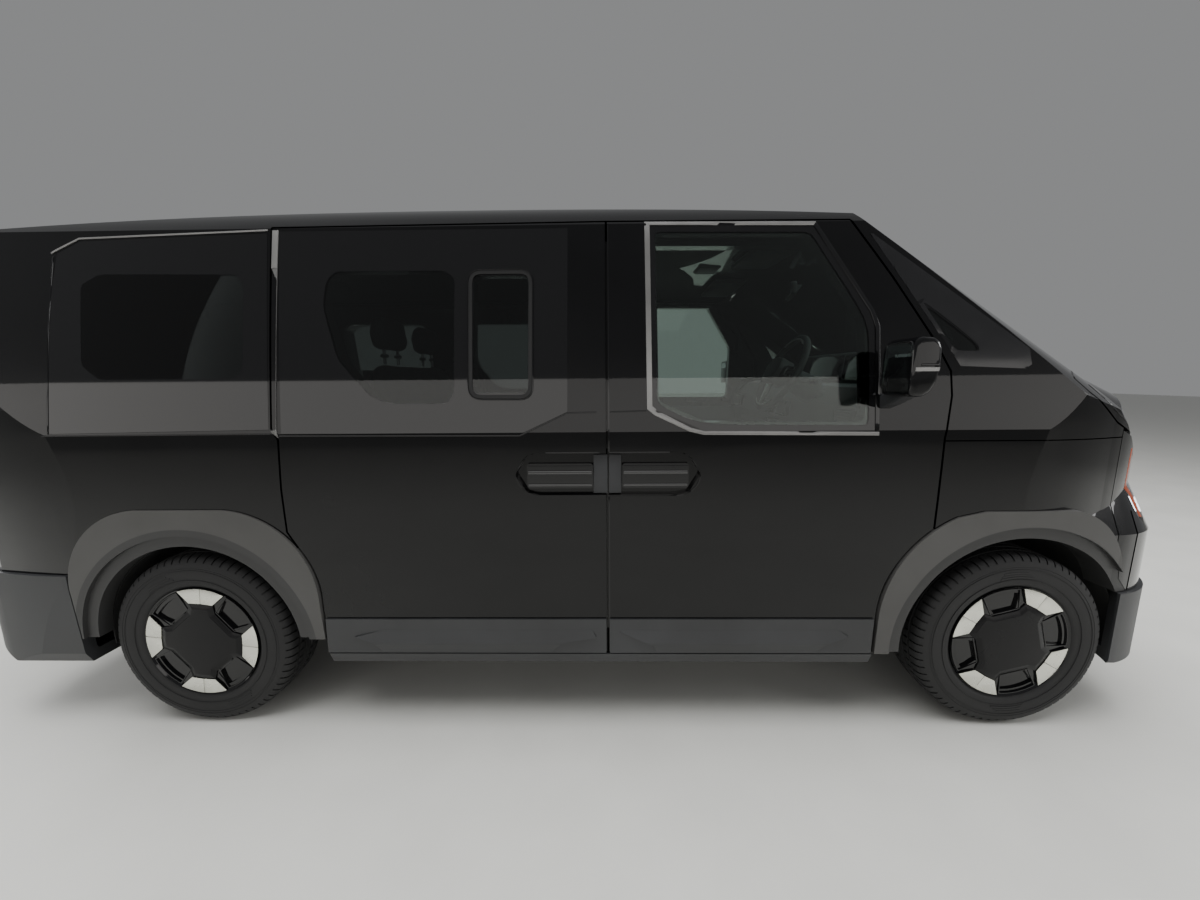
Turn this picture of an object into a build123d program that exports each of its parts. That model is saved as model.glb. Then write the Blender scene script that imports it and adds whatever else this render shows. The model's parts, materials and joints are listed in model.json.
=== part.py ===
from build123d import *
import math
import os

# Mid-size electric passenger van with hinged front doors, sliding rear doors and a tailgate.
#
# Millimetres. +X points forward, +Y to the left, +Z up, and Z = 0 is the ground.
# X = 0 is half way along the van and Y = 0 is its middle plane.

os.makedirs("parts", exist_ok=True)

# Overall size
length = 4695.0
body_width = 1895.0
height = 1923.0
wheelbase = 2995.0
front_overhang = 772.5

# Running gear
tyre_radius = 338.0
tyre_width = 215.0
tyre_face_inset = 22.0
front_arch_radius = 405.0
rear_arch_radius = 382.0

# Wall, glass and gap sizes
door_thickness = 56.0
wall_thickness = 110.0
roof_thickness = 48.0
hood_thickness = 36.0
glass_thickness = 5.0
glass_seat = 0.3
shut_gap = 7.0
pocket_clearance = 20.0
cladding_stand = 7.5
cladding_depth = 30.0

# Heights of the body's lines
underbody_z = 256.0
rocker_top_z = 304.0
cladding_top_z = 441.0
belt_z = 1119.0
waist_z = 1090.0
hood_front_z = 1062.0

# Places worked out from the sizes above
half_length = length / 2
half_width = body_width / 2
side_y = half_width - cladding_stand
axle_z = tyre_radius
front_axle_x = half_length - front_overhang
rear_axle_x = front_axle_x - wheelbase
wheel_y = half_width - tyre_face_inset - tyre_width / 2
nose_x = half_length - 50.0
tail_x = -half_length + 15.0

# The windscreen and the hood are faces with a raked straight line and a bowed cross-section
windscreen_rake = 33.5
windscreen_base = (1784.0, 1327.0)
hood_top_rake = 25.8
hood_top_base = (1815.0, 1311.0)
hood_front_rake = 63.2
hood_front_base = (1950.0, 1243.0)
roof_arc_radius = 18900.0
roof_peak_x = -400.0


def raked_face_plane(base, rake, inset):
    """Plane square to a raked face's straight line: local x is Y, local y points out of the face."""
    down = math.radians(rake)
    normal = (math.sin(down), 0.0, math.cos(down))
    origin = (base[0] - inset * normal[0], 0.0, base[1] - inset * normal[2])
    return Plane(origin=origin, x_dir=(0, 1, 0), z_dir=(math.cos(down), 0.0, -math.sin(down)))


def space_above(base, rake, inset, bow, shoulder, corner):
    """Everything outside one raked, bowed face: bow is its rise at the middle plane."""
    with BuildPart() as space:
        with BuildSketch(raked_face_plane(base, rake, inset)):
            with BuildLine():
                ThreePointArc((-shoulder, 0), (0, bow), (shoulder, 0))
                ThreePointArc((shoulder, 0), corner[0], corner[1])
                Polyline(corner[1], (1150, corner[1][1] - 330), (1150, 1100), (-1150, 1100),
                         (-1150, corner[1][1] - 330), (-corner[1][0], corner[1][1]))
                ThreePointArc((-corner[1][0], corner[1][1]), (-corner[0][0], corner[0][1]),
                              (-shoulder, 0))
            make_face()
        extrude(amount=1600, both=True)
    return space.part


def body_form(inset):
    """The van's outer volume with each face moved inward by inset."""
    with BuildPart() as form:
        # Cross-section: cant rail, glass slope, shoulder and lower side
        with BuildSketch(Plane.YZ.offset(-half_length - 60)):
            with BuildLine():
                Line((0, height + 22), (600, height + 22))
                ThreePointArc((600, height + 22), (728, 1897), (825, 1820))
                ThreePointArc((825, 1820), (886, 1480), (side_y - 2, 1125))
                ThreePointArc((side_y - 2, 1125), (side_y, 780), (side_y - 15, 300))
                Polyline((side_y - 15, 300), (side_y - 35, underbody_z), (side_y - 35, -150),
                         (0, -150))
                mirror(about=Plane.YZ)
            make_face()
            if inset:
                offset(amount=-inset, kind=Kind.INTERSECTION)
        extrude(amount=length + 120)
        # Plan: bowed nose and tail with round corners; inner volumes run on below the walls
        with BuildSketch(Plane.XY.offset(underbody_z if inset <= 0 else -10)):
            with BuildLine():
                ThreePointArc((nose_x, 0), (nose_x - 37.5, 340), (nose_x - 147.5, 660))
                ThreePointArc((nose_x - 147.5, 660), (nose_x - 262, 792), (1850, 885))
                ThreePointArc((1850, 885), (1690, 925), (1500, side_y + 1))
                Line((1500, side_y + 1), (-1650, side_y + 1))
                ThreePointArc((-1650, side_y + 1), (-1920, 932), (-2150, 900))
                ThreePointArc((-2150, 900), (tail_x + 70, 822), (tail_x + 20, 700))
                ThreePointArc((tail_x + 20, 700), (tail_x + 5, 350), (tail_x, 0))
                mirror(about=Plane.XZ)
            make_face()
            if inset:
                offset(amount=-inset, kind=Kind.INTERSECTION)
        extrude(amount=height + 100, mode=Mode.INTERSECT)
        # Tail: leans forward above the bumper and ends in a short roof lip
        with BuildSketch(Plane.XZ):
            with BuildLine():
                Polyline((half_length, 0), (half_length, 2200), (-2290, 2200), (-2262, 1850),
                         (-2236, 1790), (-2325, 700), (-2332, -150), (half_length, -150),
                         (half_length, 0))
            make_face()
            if inset:
                offset(amount=-inset, kind=Kind.INTERSECTION)
        extrude(amount=1200, both=True, mode=Mode.INTERSECT)
        # Roof: one crown arc turned about a far axis below
        with BuildSketch(Plane.YZ.offset(roof_peak_x)):
            with BuildLine():
                ThreePointArc((-950, height - 27 - inset), (0, height - inset),
                              (950, height - 27 - inset))
                Polyline((950, height - 27 - inset), (950, 100), (-950, 100),
                         (-950, height - 27 - inset))
            make_face()
        revolve(axis=Axis((roof_peak_x, 0, height - roof_arc_radius), (0, 1, 0)),
                mode=Mode.INTERSECT)
    return form.part


def below_raked_faces(form, inset):
    """Take away what lies outside the windscreen and hood top together, or the hood front."""
    beyond_glass = space_above(windscreen_base, windscreen_rake, inset, 55, 700,
                               ((830, -38), (920, -115)))
    beyond_top = space_above(hood_top_base, hood_top_rake, inset, 45, 720,
                             ((820, -38), (900, -130)))
    beyond_front = space_above(hood_front_base, hood_front_rake, inset, 150, 720,
                               ((820, -42), (900, -130)))
    return form - (beyond_glass & beyond_top) - beyond_front


def body_volume(inset):
    """Outer volume with all its faces, the raked ones included, moved inward by inset."""
    return below_raked_faces(body_form(inset), inset)


outer = body_volume(0)
skin_back = body_volume(door_thickness)
pocket_back = body_volume(door_thickness + pocket_clearance)
wall_back = body_volume(wall_thickness)
glass_back = body_volume(glass_thickness + glass_seat)
glass_inner = body_volume(glass_thickness)
roof_back = body_volume(roof_thickness)
hood_back = body_volume(hood_thickness)
cladding_face = body_volume(-cladding_stand)
cladding_rear = body_volume(-glass_seat)

# Side-view outlines, each a list of (x, z)
front_door_edge = [(925, 1822), (1059, 1633), (1195, 1424), (1251, 1318), (1255, 1238),
                   (1236, 1097), (1233, 768), (1144, 675), (1103, 600), (1078, 500),
                   (1070, 430), (1074, rocker_top_z), (110, rocker_top_z), (110, 1828)]
sliding_door_edge = [(110, rocker_top_z), (110, 1828), (-1034, 1820), (-1040, 1145),
                     (-1019, 1104), (-1028, 930), (-1026, 776), (-986, 705), (-953, 618),
                     (-937, 482), (-934, rocker_top_z)]
front_glass_edge = [(244, 1812), (806, 1808), (992, 1518), (1000, 1495), (1006, belt_z + 3),
                    (437, belt_z + 7), (252, 1206)]
sliding_glass_edge = [(-1011, 1810), (-23, 1808), (-27, 1194), (-185, belt_z + 3),
                      (-1011, belt_z + 7)]
sliding_main_opening = [(-861, 1560), (-848, 1642), (-817, 1672), (-441, 1671), (-407, 1644),
                        (-412, 1253), (-437, 1224), (-636, 1224), (-700, 1250), (-800, 1374)]
sliding_vent_opening = [(-343, 1653), (-156, 1651), (-160, 1258), (-347, 1259)]
rear_quarter_edge = [(-1052, 1804), (-1706, 1785), (-1786, 1744), (-1800, 1639), (-1815, 1480),
                     (-1824, 1130), (-1052, 1140)]
rear_quarter_opening = [(-1701, 1635), (-1640, 1672), (-1162, 1666), (-1133, 1629),
                        (-1138, 1343), (-1166, 1313), (-1640, 1313), (-1701, 1364)]
front_quarter_edge = [(1140, 1560), (1247, 1395), (1275, 1372), (1372, 1372), (1366, 1405),
                      (1280, 1476), (1213, 1528), (1152, 1572)]
hood_side_line = [(1600, 1345), (1650, 1324), (1727, 1248), (1864, 1143), (1990, 1085),
                  (2085, hood_front_z), (2400, hood_front_z)]
front_aperture = [(930, 1752), (1165, 1395), (1172, 1240), (1160, 800), (1000, 640),
                  (990, 440), (170, 440), (170, 1760)]
sliding_aperture = [(50, 440), (50, 1760), (-975, 1750), (-965, 1145), (-965, 800), (-880, 620),
                    (-860, 440)]


def outline(points, grow=0.0, round_by=0.0):
    """Closed side-view face from a table of points, grown by a margin, with round corners."""
    with BuildSketch() as face:
        with BuildLine():
            Polyline(*points, close=True)
        make_face()
        if grow:
            offset(amount=grow, kind=Kind.INTERSECTION)
        if round_by:
            fillet(face.vertices(), radius=round_by)
    return face.sketch


def right_side(face, from_y=430.0):
    """A side-view face drawn out through the right-hand wall only."""
    with BuildPart() as block:
        with BuildSketch(Plane.XZ.offset(from_y)):
            add(face)
        extrude(amount=1250 - from_y)
    return block.part


def across(face):
    """A side-view face drawn out across the whole van."""
    with BuildPart() as block:
        with BuildSketch(Plane.XZ):
            add(face)
        extrude(amount=1300, both=True)
    return block.part


def from_behind(face, x_from, x_to):
    """A face in the rear view (y, z) drawn out along the van."""
    with BuildPart() as block:
        with BuildSketch(Plane.YZ.offset(x_from)):
            add(face)
        extrude(amount=x_to - x_from)
    return block.part


def box_between(low, high):
    """Plain block from its low corner to its high corner."""
    with BuildPart() as block:
        with Locations(((low[0] + high[0]) / 2, (low[1] + high[1]) / 2, (low[2] + high[2]) / 2)):
            Box(high[0] - low[0], high[1] - low[1], high[2] - low[2])
    return block.part


def other_side(shape):
    """The same piece on the left-hand side."""
    return mirror(shape, about=Plane.XZ)


def flare_outline(wheel_x, grow=0.0):
    """Outer edge of one arch flare in side view: flat top, round shoulders, open below."""
    at_front = wheel_x > 0
    with BuildSketch() as face:
        with BuildLine():
            if at_front:
                Line((wheel_x - 500, 200), (wheel_x - 500, 440))
                ThreePointArc((wheel_x - 500, 440), (wheel_x - 424, 684), (wheel_x - 262, 822))
                Polyline((wheel_x - 262, 822), (wheel_x - 170, 843), (wheel_x + 150, 843))
                ThreePointArc((wheel_x + 150, 843), (wheel_x + 296, 745), (wheel_x + 357, 582))
                Polyline((wheel_x + 357, 582), (wheel_x + 402, 532), (wheel_x + 357, 531),
                         (wheel_x + 357, 200), (wheel_x - 500, 200))
            else:
                Line((wheel_x - 430, 200), (wheel_x - 430, 540))
                ThreePointArc((wheel_x - 430, 540), (wheel_x - 347, 765), (wheel_x - 150, 858))
                Line((wheel_x - 150, 858), (wheel_x + 165, 858))
                ThreePointArc((wheel_x + 165, 858), (wheel_x + 398, 742), (wheel_x + 480, 500))
                Polyline((wheel_x + 480, 500), (wheel_x + 486, 200), (wheel_x - 430, 200))
        make_face()
        if grow:
            offset(amount=grow, kind=Kind.INTERSECTION)
    return face.sketch


def arch_bore(wheel_x, radius):
    """Cylinder across the right-hand side on the wheel's axis."""
    with BuildPart() as bore:
        with BuildSketch(Plane.XZ.offset(430)):
            with Locations((wheel_x, axle_z)):
                Circle(radius)
        extrude(amount=800)
    return bore.part


def windscreen_prism(grow):
    """The windscreen's outline seen square to the glass, drawn out both ways."""
    rake = math.radians(windscreen_rake)
    face_plane = Plane(origin=(windscreen_base[0], 0, windscreen_base[1]),
                       x_dir=(math.cos(rake), 0, -math.sin(rake)),
                       z_dir=(math.sin(rake), 0, math.cos(rake)))
    with BuildPart() as prism:
        with BuildSketch(face_plane) as face:
            with BuildLine():
                Polyline((-70, 800), (-935, 672), (-935, -672), (-70, -800))
                ThreePointArc((-70, -800), (95, 0), (-70, 800))
            make_face()
            if grow:
                offset(amount=grow, kind=Kind.INTERSECTION)
            fillet(face.vertices(), radius=45)
        extrude(amount=220, both=True)
    return prism.part


def hood_space(grow):
    """Where the hood lies: above its side line and ahead of its bowed rear edge."""
    line = [(x, z - grow) for x, z in hood_side_line]
    with BuildPart() as space:
        with BuildSketch(Plane.XZ):
            with BuildLine():
                Polyline(*line, (2500, 1700), (1500, 1700), line[0])
            make_face()
        extrude(amount=1200, both=True)
        with BuildSketch():
            with BuildLine():
                Polyline((1690 - grow, -880), (1600 - grow, -1100), (2600, -1100), (2600, 1100),
                         (1600 - grow, 1100), (1690 - grow, 880))
                ThreePointArc((1690 - grow, 880), (1890 - grow, 560), (1990 - grow, 0))
                ThreePointArc((1990 - grow, 0), (1890 - grow, -560), (1690 - grow, -880))
            make_face()
        extrude(amount=2400, mode=Mode.INTERSECT)
    return space.part


def side_cladding(region, facet_ends=None):
    """A thin proud strip over the right-hand wall, with a long faceted ridge where asked."""
    strip = right_side(outline(region)) & cladding_face
    if facet_ends:
        ridge = from_behind(outline([(-y, z) for y, z in cladding_ridge]), -900, 1000)
        strip = strip + (ridge & right_side(outline(facet_ends)))
    return strip - cladding_rear


def save(shape, name):
    """Write one piece to its own file."""
    with BuildPart() as piece:
        add(shape)
    piece.part.label = name
    export_step(piece.part, f"parts/{name}.step")


# The steering axis leans inward from the lower ball joint to the strut's top
kingpin_foot = (745.0, 215.0)
kingpin_head = (600.0, 880.0)
kingpin_lean = math.atan2(kingpin_foot[0] - kingpin_head[0], kingpin_head[1] - kingpin_foot[1])
kingpin_y = kingpin_foot[0] - (axle_z - kingpin_foot[1]) * math.tan(kingpin_lean)
right_kingpin = Plane(origin=(front_axle_x, -kingpin_foot[0], kingpin_foot[1]), x_dir=(1, 0, 0),
                      z_dir=(0, math.sin(kingpin_lean), math.cos(kingpin_lean)))
spring_radius = 60.0
liner_thickness = 5.0
liner_low_z = 304.0
front_wheelhouse_inner_y = 500.0
rear_wheelhouse_inner_y = 560.0


def wheelhouse_room(wheel_x, arch, inner_y):
    """Space inside both wheelhouse liners of one axle, liners included."""
    with BuildPart() as room:
        for side in (1, -1):
            with BuildSketch(Plane.XZ.offset(side * inner_y)):
                with Locations((wheel_x, axle_z)):
                    Circle(arch + liner_thickness)
            extrude(amount=side * 500)
    return room.part


seal_face = body_volume(door_thickness + glass_seat)
front_wheelhouses = wheelhouse_room(front_axle_x, front_arch_radius, front_wheelhouse_inner_y)
rear_wheelhouses = wheelhouse_room(rear_axle_x, rear_arch_radius, rear_wheelhouse_inner_y)

# Body sides: outer wall and the pillars behind the doors as one pressing on each side
hood_room = hood_space(shut_gap)
windscreen_hole = windscreen_prism(-34)
windscreen_seat = windscreen_prism(glass_seat * 4)
tail_opening = [(-752, 620), (-742, 1150), (-690, 1842), (690, 1842), (742, 1150), (752, 620)]
rear_body_low_z = 616.0
seal_end_x = 1130.0
side_region = [(-2400, rear_body_low_z), (-2400, 2000), (1000, 2000), (1900, 1500), (1900, waist_z),
               (1234 + shut_gap, waist_z), (1231 + shut_gap, 640), (1085, underbody_z),
               (-1000, underbody_z), (-1000, rear_body_low_z)]
roof_side_y = 690.0
# Tail lamps: upright on the rear pillars
tail_lamp = [(792, 860), (792, 1500), (826, 1500), (852, 1250), (862, 860)]
lamp_back = body_volume(20)

# Hood hinge: swan-neck arms on the hood turn on pins that stand on the body sides
hood_hinge = (1680.0, 1300.0)
hood_pin_radius = 6.0
hood_pin_clearance = 0.3
hood_arm_y = 670.0
hood_arm_thickness = 12.0
with BuildPart() as bodyside_right:
    add(outer)
    add(wall_back, mode=Mode.SUBTRACT)
    add(right_side(outline(side_region)), mode=Mode.INTERSECT)
    add(box_between((-2500, -1200, 0), (2500, -roof_side_y - 1, 2000)), mode=Mode.INTERSECT)
    # Door pockets, cut to the depth of a door
    for edge in (front_door_edge, sliding_door_edge):
        pocket = right_side(outline(edge, grow=shut_gap)) - pocket_back
        add(pocket, mode=Mode.SUBTRACT)
    # Seals round the door openings, which the shut doors press on
    for edge in (front_aperture, sliding_aperture):
        ring = right_side(outline(edge, grow=18, round_by=40)) & seal_face
        add(ring - pocket_back - box_between((seal_end_x, -1200, 0), (1400, 0, 2000)))
        add(right_side(outline(edge, round_by=40)), mode=Mode.SUBTRACT)
    for wheel_x in (front_axle_x, rear_axle_x):
        add(right_side(flare_outline(wheel_x, grow=1)), mode=Mode.SUBTRACT)
    add(hood_room, mode=Mode.SUBTRACT)
    # Rear quarter window: shallow seat for the glass and the opening through the wall
    add(right_side(outline(rear_quarter_edge, grow=1)) - glass_back, mode=Mode.SUBTRACT)
    add(right_side(outline(rear_quarter_opening, round_by=24)), mode=Mode.SUBTRACT)
    add(right_side(outline(front_quarter_edge, grow=1)) - glass_back, mode=Mode.SUBTRACT)
    add(right_side(outline(front_quarter_edge, grow=-22)), mode=Mode.SUBTRACT)
    add(windscreen_seat - glass_back, mode=Mode.SUBTRACT)
    add(windscreen_hole, mode=Mode.SUBTRACT)
    add(from_behind(outline(tail_opening, grow=shut_gap), -2400, -2184), mode=Mode.SUBTRACT)
    # Pin for the hood's hinge arm
    with BuildSketch(Plane.XZ.offset(roof_side_y - 36)):
        with Locations(hood_hinge):
            Circle(hood_pin_radius)
    extrude(amount=50)
    lamp_seat = from_behind(outline([(-y, z) for y, z in tail_lamp], grow=0.5), -2400, -2100)
    add(lamp_seat - lamp_back, mode=Mode.SUBTRACT)
save(bodyside_right.part, "bodyside_right")
save(other_side(bodyside_right.part), "bodyside_left")

# Roof between the two sides, with the windscreen header and the tailgate header
with BuildPart() as roof_panel:
    add(outer)
    add(roof_back, mode=Mode.SUBTRACT)
    add(box_between((-2176, -roof_side_y, 1720), (1200, roof_side_y, 2000)), mode=Mode.INTERSECT)
    add(windscreen_seat - glass_back, mode=Mode.SUBTRACT)
    add(windscreen_hole, mode=Mode.SUBTRACT)
save(roof_panel.part, "roof_panel")

# Windscreen laid in its seat
with BuildPart() as windscreen:
    add(windscreen_prism(0))
    add(outer, mode=Mode.INTERSECT)
    add(glass_inner, mode=Mode.SUBTRACT)
save(windscreen.part, "windscreen")

hood_arm_line = [(1667, 1303), (1706, 1222), (1856, 1198), (1912, 1228), (1906, 1246),
                 (1856, 1222), (1722, 1243), (1693, 1303)]
with BuildPart() as hood_arms:
    for side in (1, -1):
        with BuildSketch(Plane.XZ.offset(side * hood_arm_y)):
            with BuildLine():
                Polyline(*hood_arm_line, close=True)
            make_face()
            with Locations(hood_hinge):
                Circle(14)
                Circle(hood_pin_radius + hood_pin_clearance, mode=Mode.SUBTRACT)
        extrude(amount=hood_arm_thickness / 2, both=True)

# Cowl between the windscreen's lower edge and the hood
with BuildPart() as cowl_panel:
    add(outer)
    add(roof_back, mode=Mode.SUBTRACT)
    add(box_between((1560, -roof_side_y, 1200), (2100, roof_side_y, 1420)), mode=Mode.INTERSECT)
    add(hood_room, mode=Mode.SUBTRACT)
    add(windscreen_seat - glass_back, mode=Mode.SUBTRACT)
    add(windscreen_hole, mode=Mode.SUBTRACT)
    for side in (1, -1):
        low_y, high_y = sorted((side * (hood_arm_y - 22), side * (roof_side_y + 1)))
        add(box_between((hood_hinge[0] - 20, low_y, 1000), (2200, high_y, 1500)),
            mode=Mode.SUBTRACT)
save(cowl_panel.part, "cowl_panel")

# Hood: short clamshell lid that carries the raked faces to the nose
with BuildPart() as hood:
    add(outer)
    add(hood_back, mode=Mode.SUBTRACT)
    add(hood_space(0), mode=Mode.INTERSECT)
    add(hood_arms.part)
save(hood.part, "hood")

# The cladding's own plan is fuller at the corners than the painted body's
bumper_thickness = 42.0


def cladding_plan(inset):
    """The bumpers' and arch flares' outer line seen from above, moved inward by inset."""
    with BuildSketch() as face:
        with BuildLine():
            ThreePointArc((half_length, 0), (half_length - 37, 345), (half_length - 143, 695))
            ThreePointArc((half_length - 143, 695), (half_length - 244, 842), (1905, 924))
            ThreePointArc((1905, 924), (1790, 942), (1660, half_width))
            Line((1660, half_width), (-1780, half_width))
            ThreePointArc((-1780, half_width), (-2000, 938), (-2170, 908))
            ThreePointArc((-2170, 908), (-half_length + 57, 830), (-half_length + 15, 700))
            ThreePointArc((-half_length + 15, 700), (-half_length + 4, 350), (-half_length, 0))
            mirror(about=Plane.XZ)
        make_face()
        if inset:
            offset(amount=-inset, kind=Kind.INTERSECTION)
    return face.sketch


def cladding_volume(inset):
    """Volume inside the bumpers' and arch flares' outer faces, moved inward by inset."""
    with BuildPart() as volume:
        with BuildSketch(Plane.XY.offset(underbody_z)):
            add(cladding_plan(inset))
        extrude(amount=640)
        # Lower edges turn in towards the underbody
        with BuildSketch(Plane.YZ.offset(-half_length - 5)):
            with BuildLine():
                Polyline((half_width, 900), (half_width, 560), (half_width - 12, 300),
                         (half_width - 34, underbody_z), (0, underbody_z))
                Polyline((half_width, 900), (0, 900))
                mirror(about=Plane.YZ)
            make_face()
            if inset:
                offset(amount=-inset, kind=Kind.INTERSECTION)
        extrude(amount=length + 10, mode=Mode.INTERSECT)
        with BuildSketch(Plane.XZ):
            with BuildLine():
                Polyline((half_length + 1, 900), (half_length + 1, 520), (half_length - 6, 360),
                         (half_length - 34, 300), (half_length - 150, underbody_z),
                         (-half_length + 190, underbody_z), (-half_length + 60, 330),
                         (-half_length - 1, 420), (-half_length - 1, 900),
                         (half_length + 1, 900))
            make_face()
            if inset:
                offset(amount=-inset, kind=Kind.INTERSECTION)
        extrude(amount=1000, both=True, mode=Mode.INTERSECT)
    return volume.part


# Painted corners of the nose: full above the bumper, then leaning back to the body
corner_inner_y = 640.0
corner_inset = 13.0
corner_low_z = 532.0
# Each stage of a corner: from height, to height, lean in degrees
corner_stages = [(corner_low_z - 20, 745, 0.0), (745, 906, 23.2)]


def corner_volume(inset):
    """Volume inside both painted corners' outer faces, moved inward by inset."""
    with BuildPart() as volume:
        for low_z, high_z, lean in corner_stages:
            with BuildSketch(Plane.XY.offset(low_z)):
                add(cladding_plan(corner_inset + inset))
                with Locations((400, 0)):
                    Rectangle(2300, 2000, mode=Mode.SUBTRACT)
                with Locations((-1600, 0)):
                    Rectangle(2300, 2000, mode=Mode.SUBTRACT)
            extrude(amount=high_z - low_z, taper=lean)
        middle = corner_inner_y + inset
        add(box_between((1500, -middle, 0), (2400, middle, 1000)), mode=Mode.SUBTRACT)
    return volume.part


front_outer = outer + corner_volume(0)

# Nose panel under the hood's front edge, wrapped round to the fenders
nose_back_x = 1900.0
nose_low_z = 600.0
lamp_strip = [(780, 850), (780, 1046), (826, 1046), (830, 872), (856, 792), (846, 774),
              (812, 802)]
corner_groove = [(1984, 820), (1992, 820), (1986, 500), (1978, 500)]
headlamp = [(672, 640), (672, 790), (800, 790), (800, 640)]
nose_region = [(nose_back_x + 4, corner_low_z), (2500, corner_low_z),
               (2500, hood_front_z - shut_gap),
               (2085, hood_front_z - shut_gap), (1990, 1085 - shut_gap),
               (nose_back_x + 4, waist_z + 20)]
with BuildPart() as nose_panel:
    add(front_outer)
    add(hood_back, mode=Mode.SUBTRACT)
    add(corner_volume(hood_thickness), mode=Mode.SUBTRACT)
    add(across(outline(nose_region)), mode=Mode.INTERSECT)
    add(box_between((1800, -corner_inner_y - 4, 0), (2400, corner_inner_y + 4, nose_low_z)),
        mode=Mode.SUBTRACT)
    add(across(flare_outline(front_axle_x, grow=1)), mode=Mode.SUBTRACT)
    for side in (1, -1):
        strip = outline([(side * y, z) for y, z in lamp_strip], grow=0.5)
        add(from_behind(strip, 1800, 2400), mode=Mode.SUBTRACT)
        lens = outline([(side * y, z) for y, z in headlamp], grow=0.5, round_by=16)
        add(from_behind(lens, 1900, 2400), mode=Mode.SUBTRACT)
    groove = right_side(outline(corner_groove)) - corner_volume(12) - body_volume(6)
    add(groove, mode=Mode.SUBTRACT)
    add(other_side(groove), mode=Mode.SUBTRACT)
save(nose_panel.part, "nose_panel")

# Daytime lamp strips let into the nose's corners
with BuildPart() as lamp_strips:
    for side in (1, -1):
        strip = outline([(side * y, z) for y, z in lamp_strip])
        add(from_behind(strip, 1950, 2400))
    add(front_outer, mode=Mode.INTERSECT)
    add(hood_back, mode=Mode.SUBTRACT)
    add(corner_volume(hood_thickness), mode=Mode.SUBTRACT)
save(lamp_strips.part, "lamp_strips")

# Headlamps set a little behind the corners' outer face
with BuildPart() as headlamps:
    for side in (1, -1):
        lens = outline([(side * y, z) for y, z in headlamp], round_by=15.5)
        add(from_behind(lens, 1900, 2400))
    add(corner_volume(9), mode=Mode.INTERSECT)
    add(corner_volume(hood_thickness), mode=Mode.SUBTRACT)
save(headlamps.part, "headlamps")

# Front fenders below the waist line
fender_region = [(1233 + shut_gap, 640), (1236 + shut_gap, waist_z - 4), (nose_back_x, waist_z - 4),
                 (nose_back_x, 600), (1300, 600)]
with BuildPart() as fender_right:
    add(front_outer)
    add(skin_back, mode=Mode.SUBTRACT)
    add(right_side(outline(fender_region)), mode=Mode.INTERSECT)
    add(right_side(flare_outline(front_axle_x, grow=1)), mode=Mode.SUBTRACT)
with BuildPart() as front_fenders:
    add(fender_right.part)
    add(other_side(fender_right.part))
save(front_fenders.part, "front_fenders")

cladding_outer = cladding_volume(0)
cladding_inner = cladding_volume(bumper_thickness)
cladding_shell = cladding_outer - cladding_inner

# Arch flares: a proud outer band and a stepped inner band round each wheel opening
flare_step = 14.0
flare_inner_band = 42.0
with BuildPart() as flares_right:
    for wheel_x, arch in ((front_axle_x, front_arch_radius), (rear_axle_x, rear_arch_radius)):
        low_z = rocker_top_z if wheel_x > 0 else cladding_top_z - 80
        band = right_side(flare_outline(wheel_x)) & cladding_outer
        band = band - skin_back - arch_bore(wheel_x, arch)
        band = band - box_between((wheel_x - 700, -1200, 0), (wheel_x + 700, 0, low_z))
        step = arch_bore(wheel_x, arch + flare_inner_band) - cladding_volume(flare_step)
        add(band - step)
with BuildPart() as arch_flares:
    add(flares_right.part)
    add(other_side(flares_right.part))
save(arch_flares.part, "arch_flares")

# Front bumper, cut away behind for the steered tyres
bumper_back_x = front_axle_x + 361
bumper_middle_z = nose_low_z - 4
bumper_corner_z = corner_low_z - 4
tyre_sweep_radius = 402.0
tyre_sweep_y = 735.0
with BuildPart() as front_bumper:
    add(cladding_shell)
    add(box_between((bumper_back_x, -1000, 200), (2400, 1000, bumper_middle_z)),
        mode=Mode.INTERSECT)
    for side in (1, -1):
        low_y, high_y = sorted((side * corner_inner_y, side * 1000))
        add(box_between((1800, low_y, bumper_corner_z), (2400, high_y, 1000)),
            mode=Mode.SUBTRACT)
        with BuildSketch(Plane.XY.offset(200)):
            with Locations((front_axle_x, side * tyre_sweep_y)):
                Circle(tyre_sweep_radius)
        extrude(amount=400, mode=Mode.SUBTRACT)
    # Lower intake
    with BuildSketch(Plane.YZ.offset(2100)):
        with Locations((0, 375)):
            RectangleRounded(1050, 96, 30)
    extrude(amount=300, mode=Mode.SUBTRACT)
save(front_bumper.part, "front_bumper")

# Intake grille: blades on two end posts behind the lower opening
grille_blades = 4
with BuildPart() as intake_grille:
    for blade in range(grille_blades):
        blade_width = 1049.6 if 0 < blade < grille_blades - 1 else 1000
        with Locations((2258, 0, 340 + blade * 24)):
            Box(26, blade_width, 6)
    with Locations((2258, -490, 376), (2258, 490, 376)):
        Box(26, 14, 84)
save(intake_grille.part, "intake_grille")

# Rear bumper
rear_bumper_front_x = rear_axle_x - 434
rear_bumper_top_z = rear_body_low_z - 4
with BuildPart() as rear_bumper:
    add(cladding_shell)
    add(box_between((-2400, -1000, 200), (rear_bumper_front_x, 1000, rear_bumper_top_z)),
        mode=Mode.INTERSECT)
    # Bare seat for a plate
    with BuildSketch(Plane.YZ.offset(-2400)):
        with Locations((0, 470)):
            RectangleRounded(540, 130, 12)
    extrude(amount=66, mode=Mode.SUBTRACT)
save(rear_bumper.part, "rear_bumper")

with BuildPart() as tail_lamps:
    for side in (1, -1):
        add(from_behind(outline([(side * y, z) for y, z in tail_lamp]), -2400, -2100))
    add(outer, mode=Mode.INTERSECT)
    add(lamp_back, mode=Mode.SUBTRACT)
save(tail_lamps.part, "tail_lamps")

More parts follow.
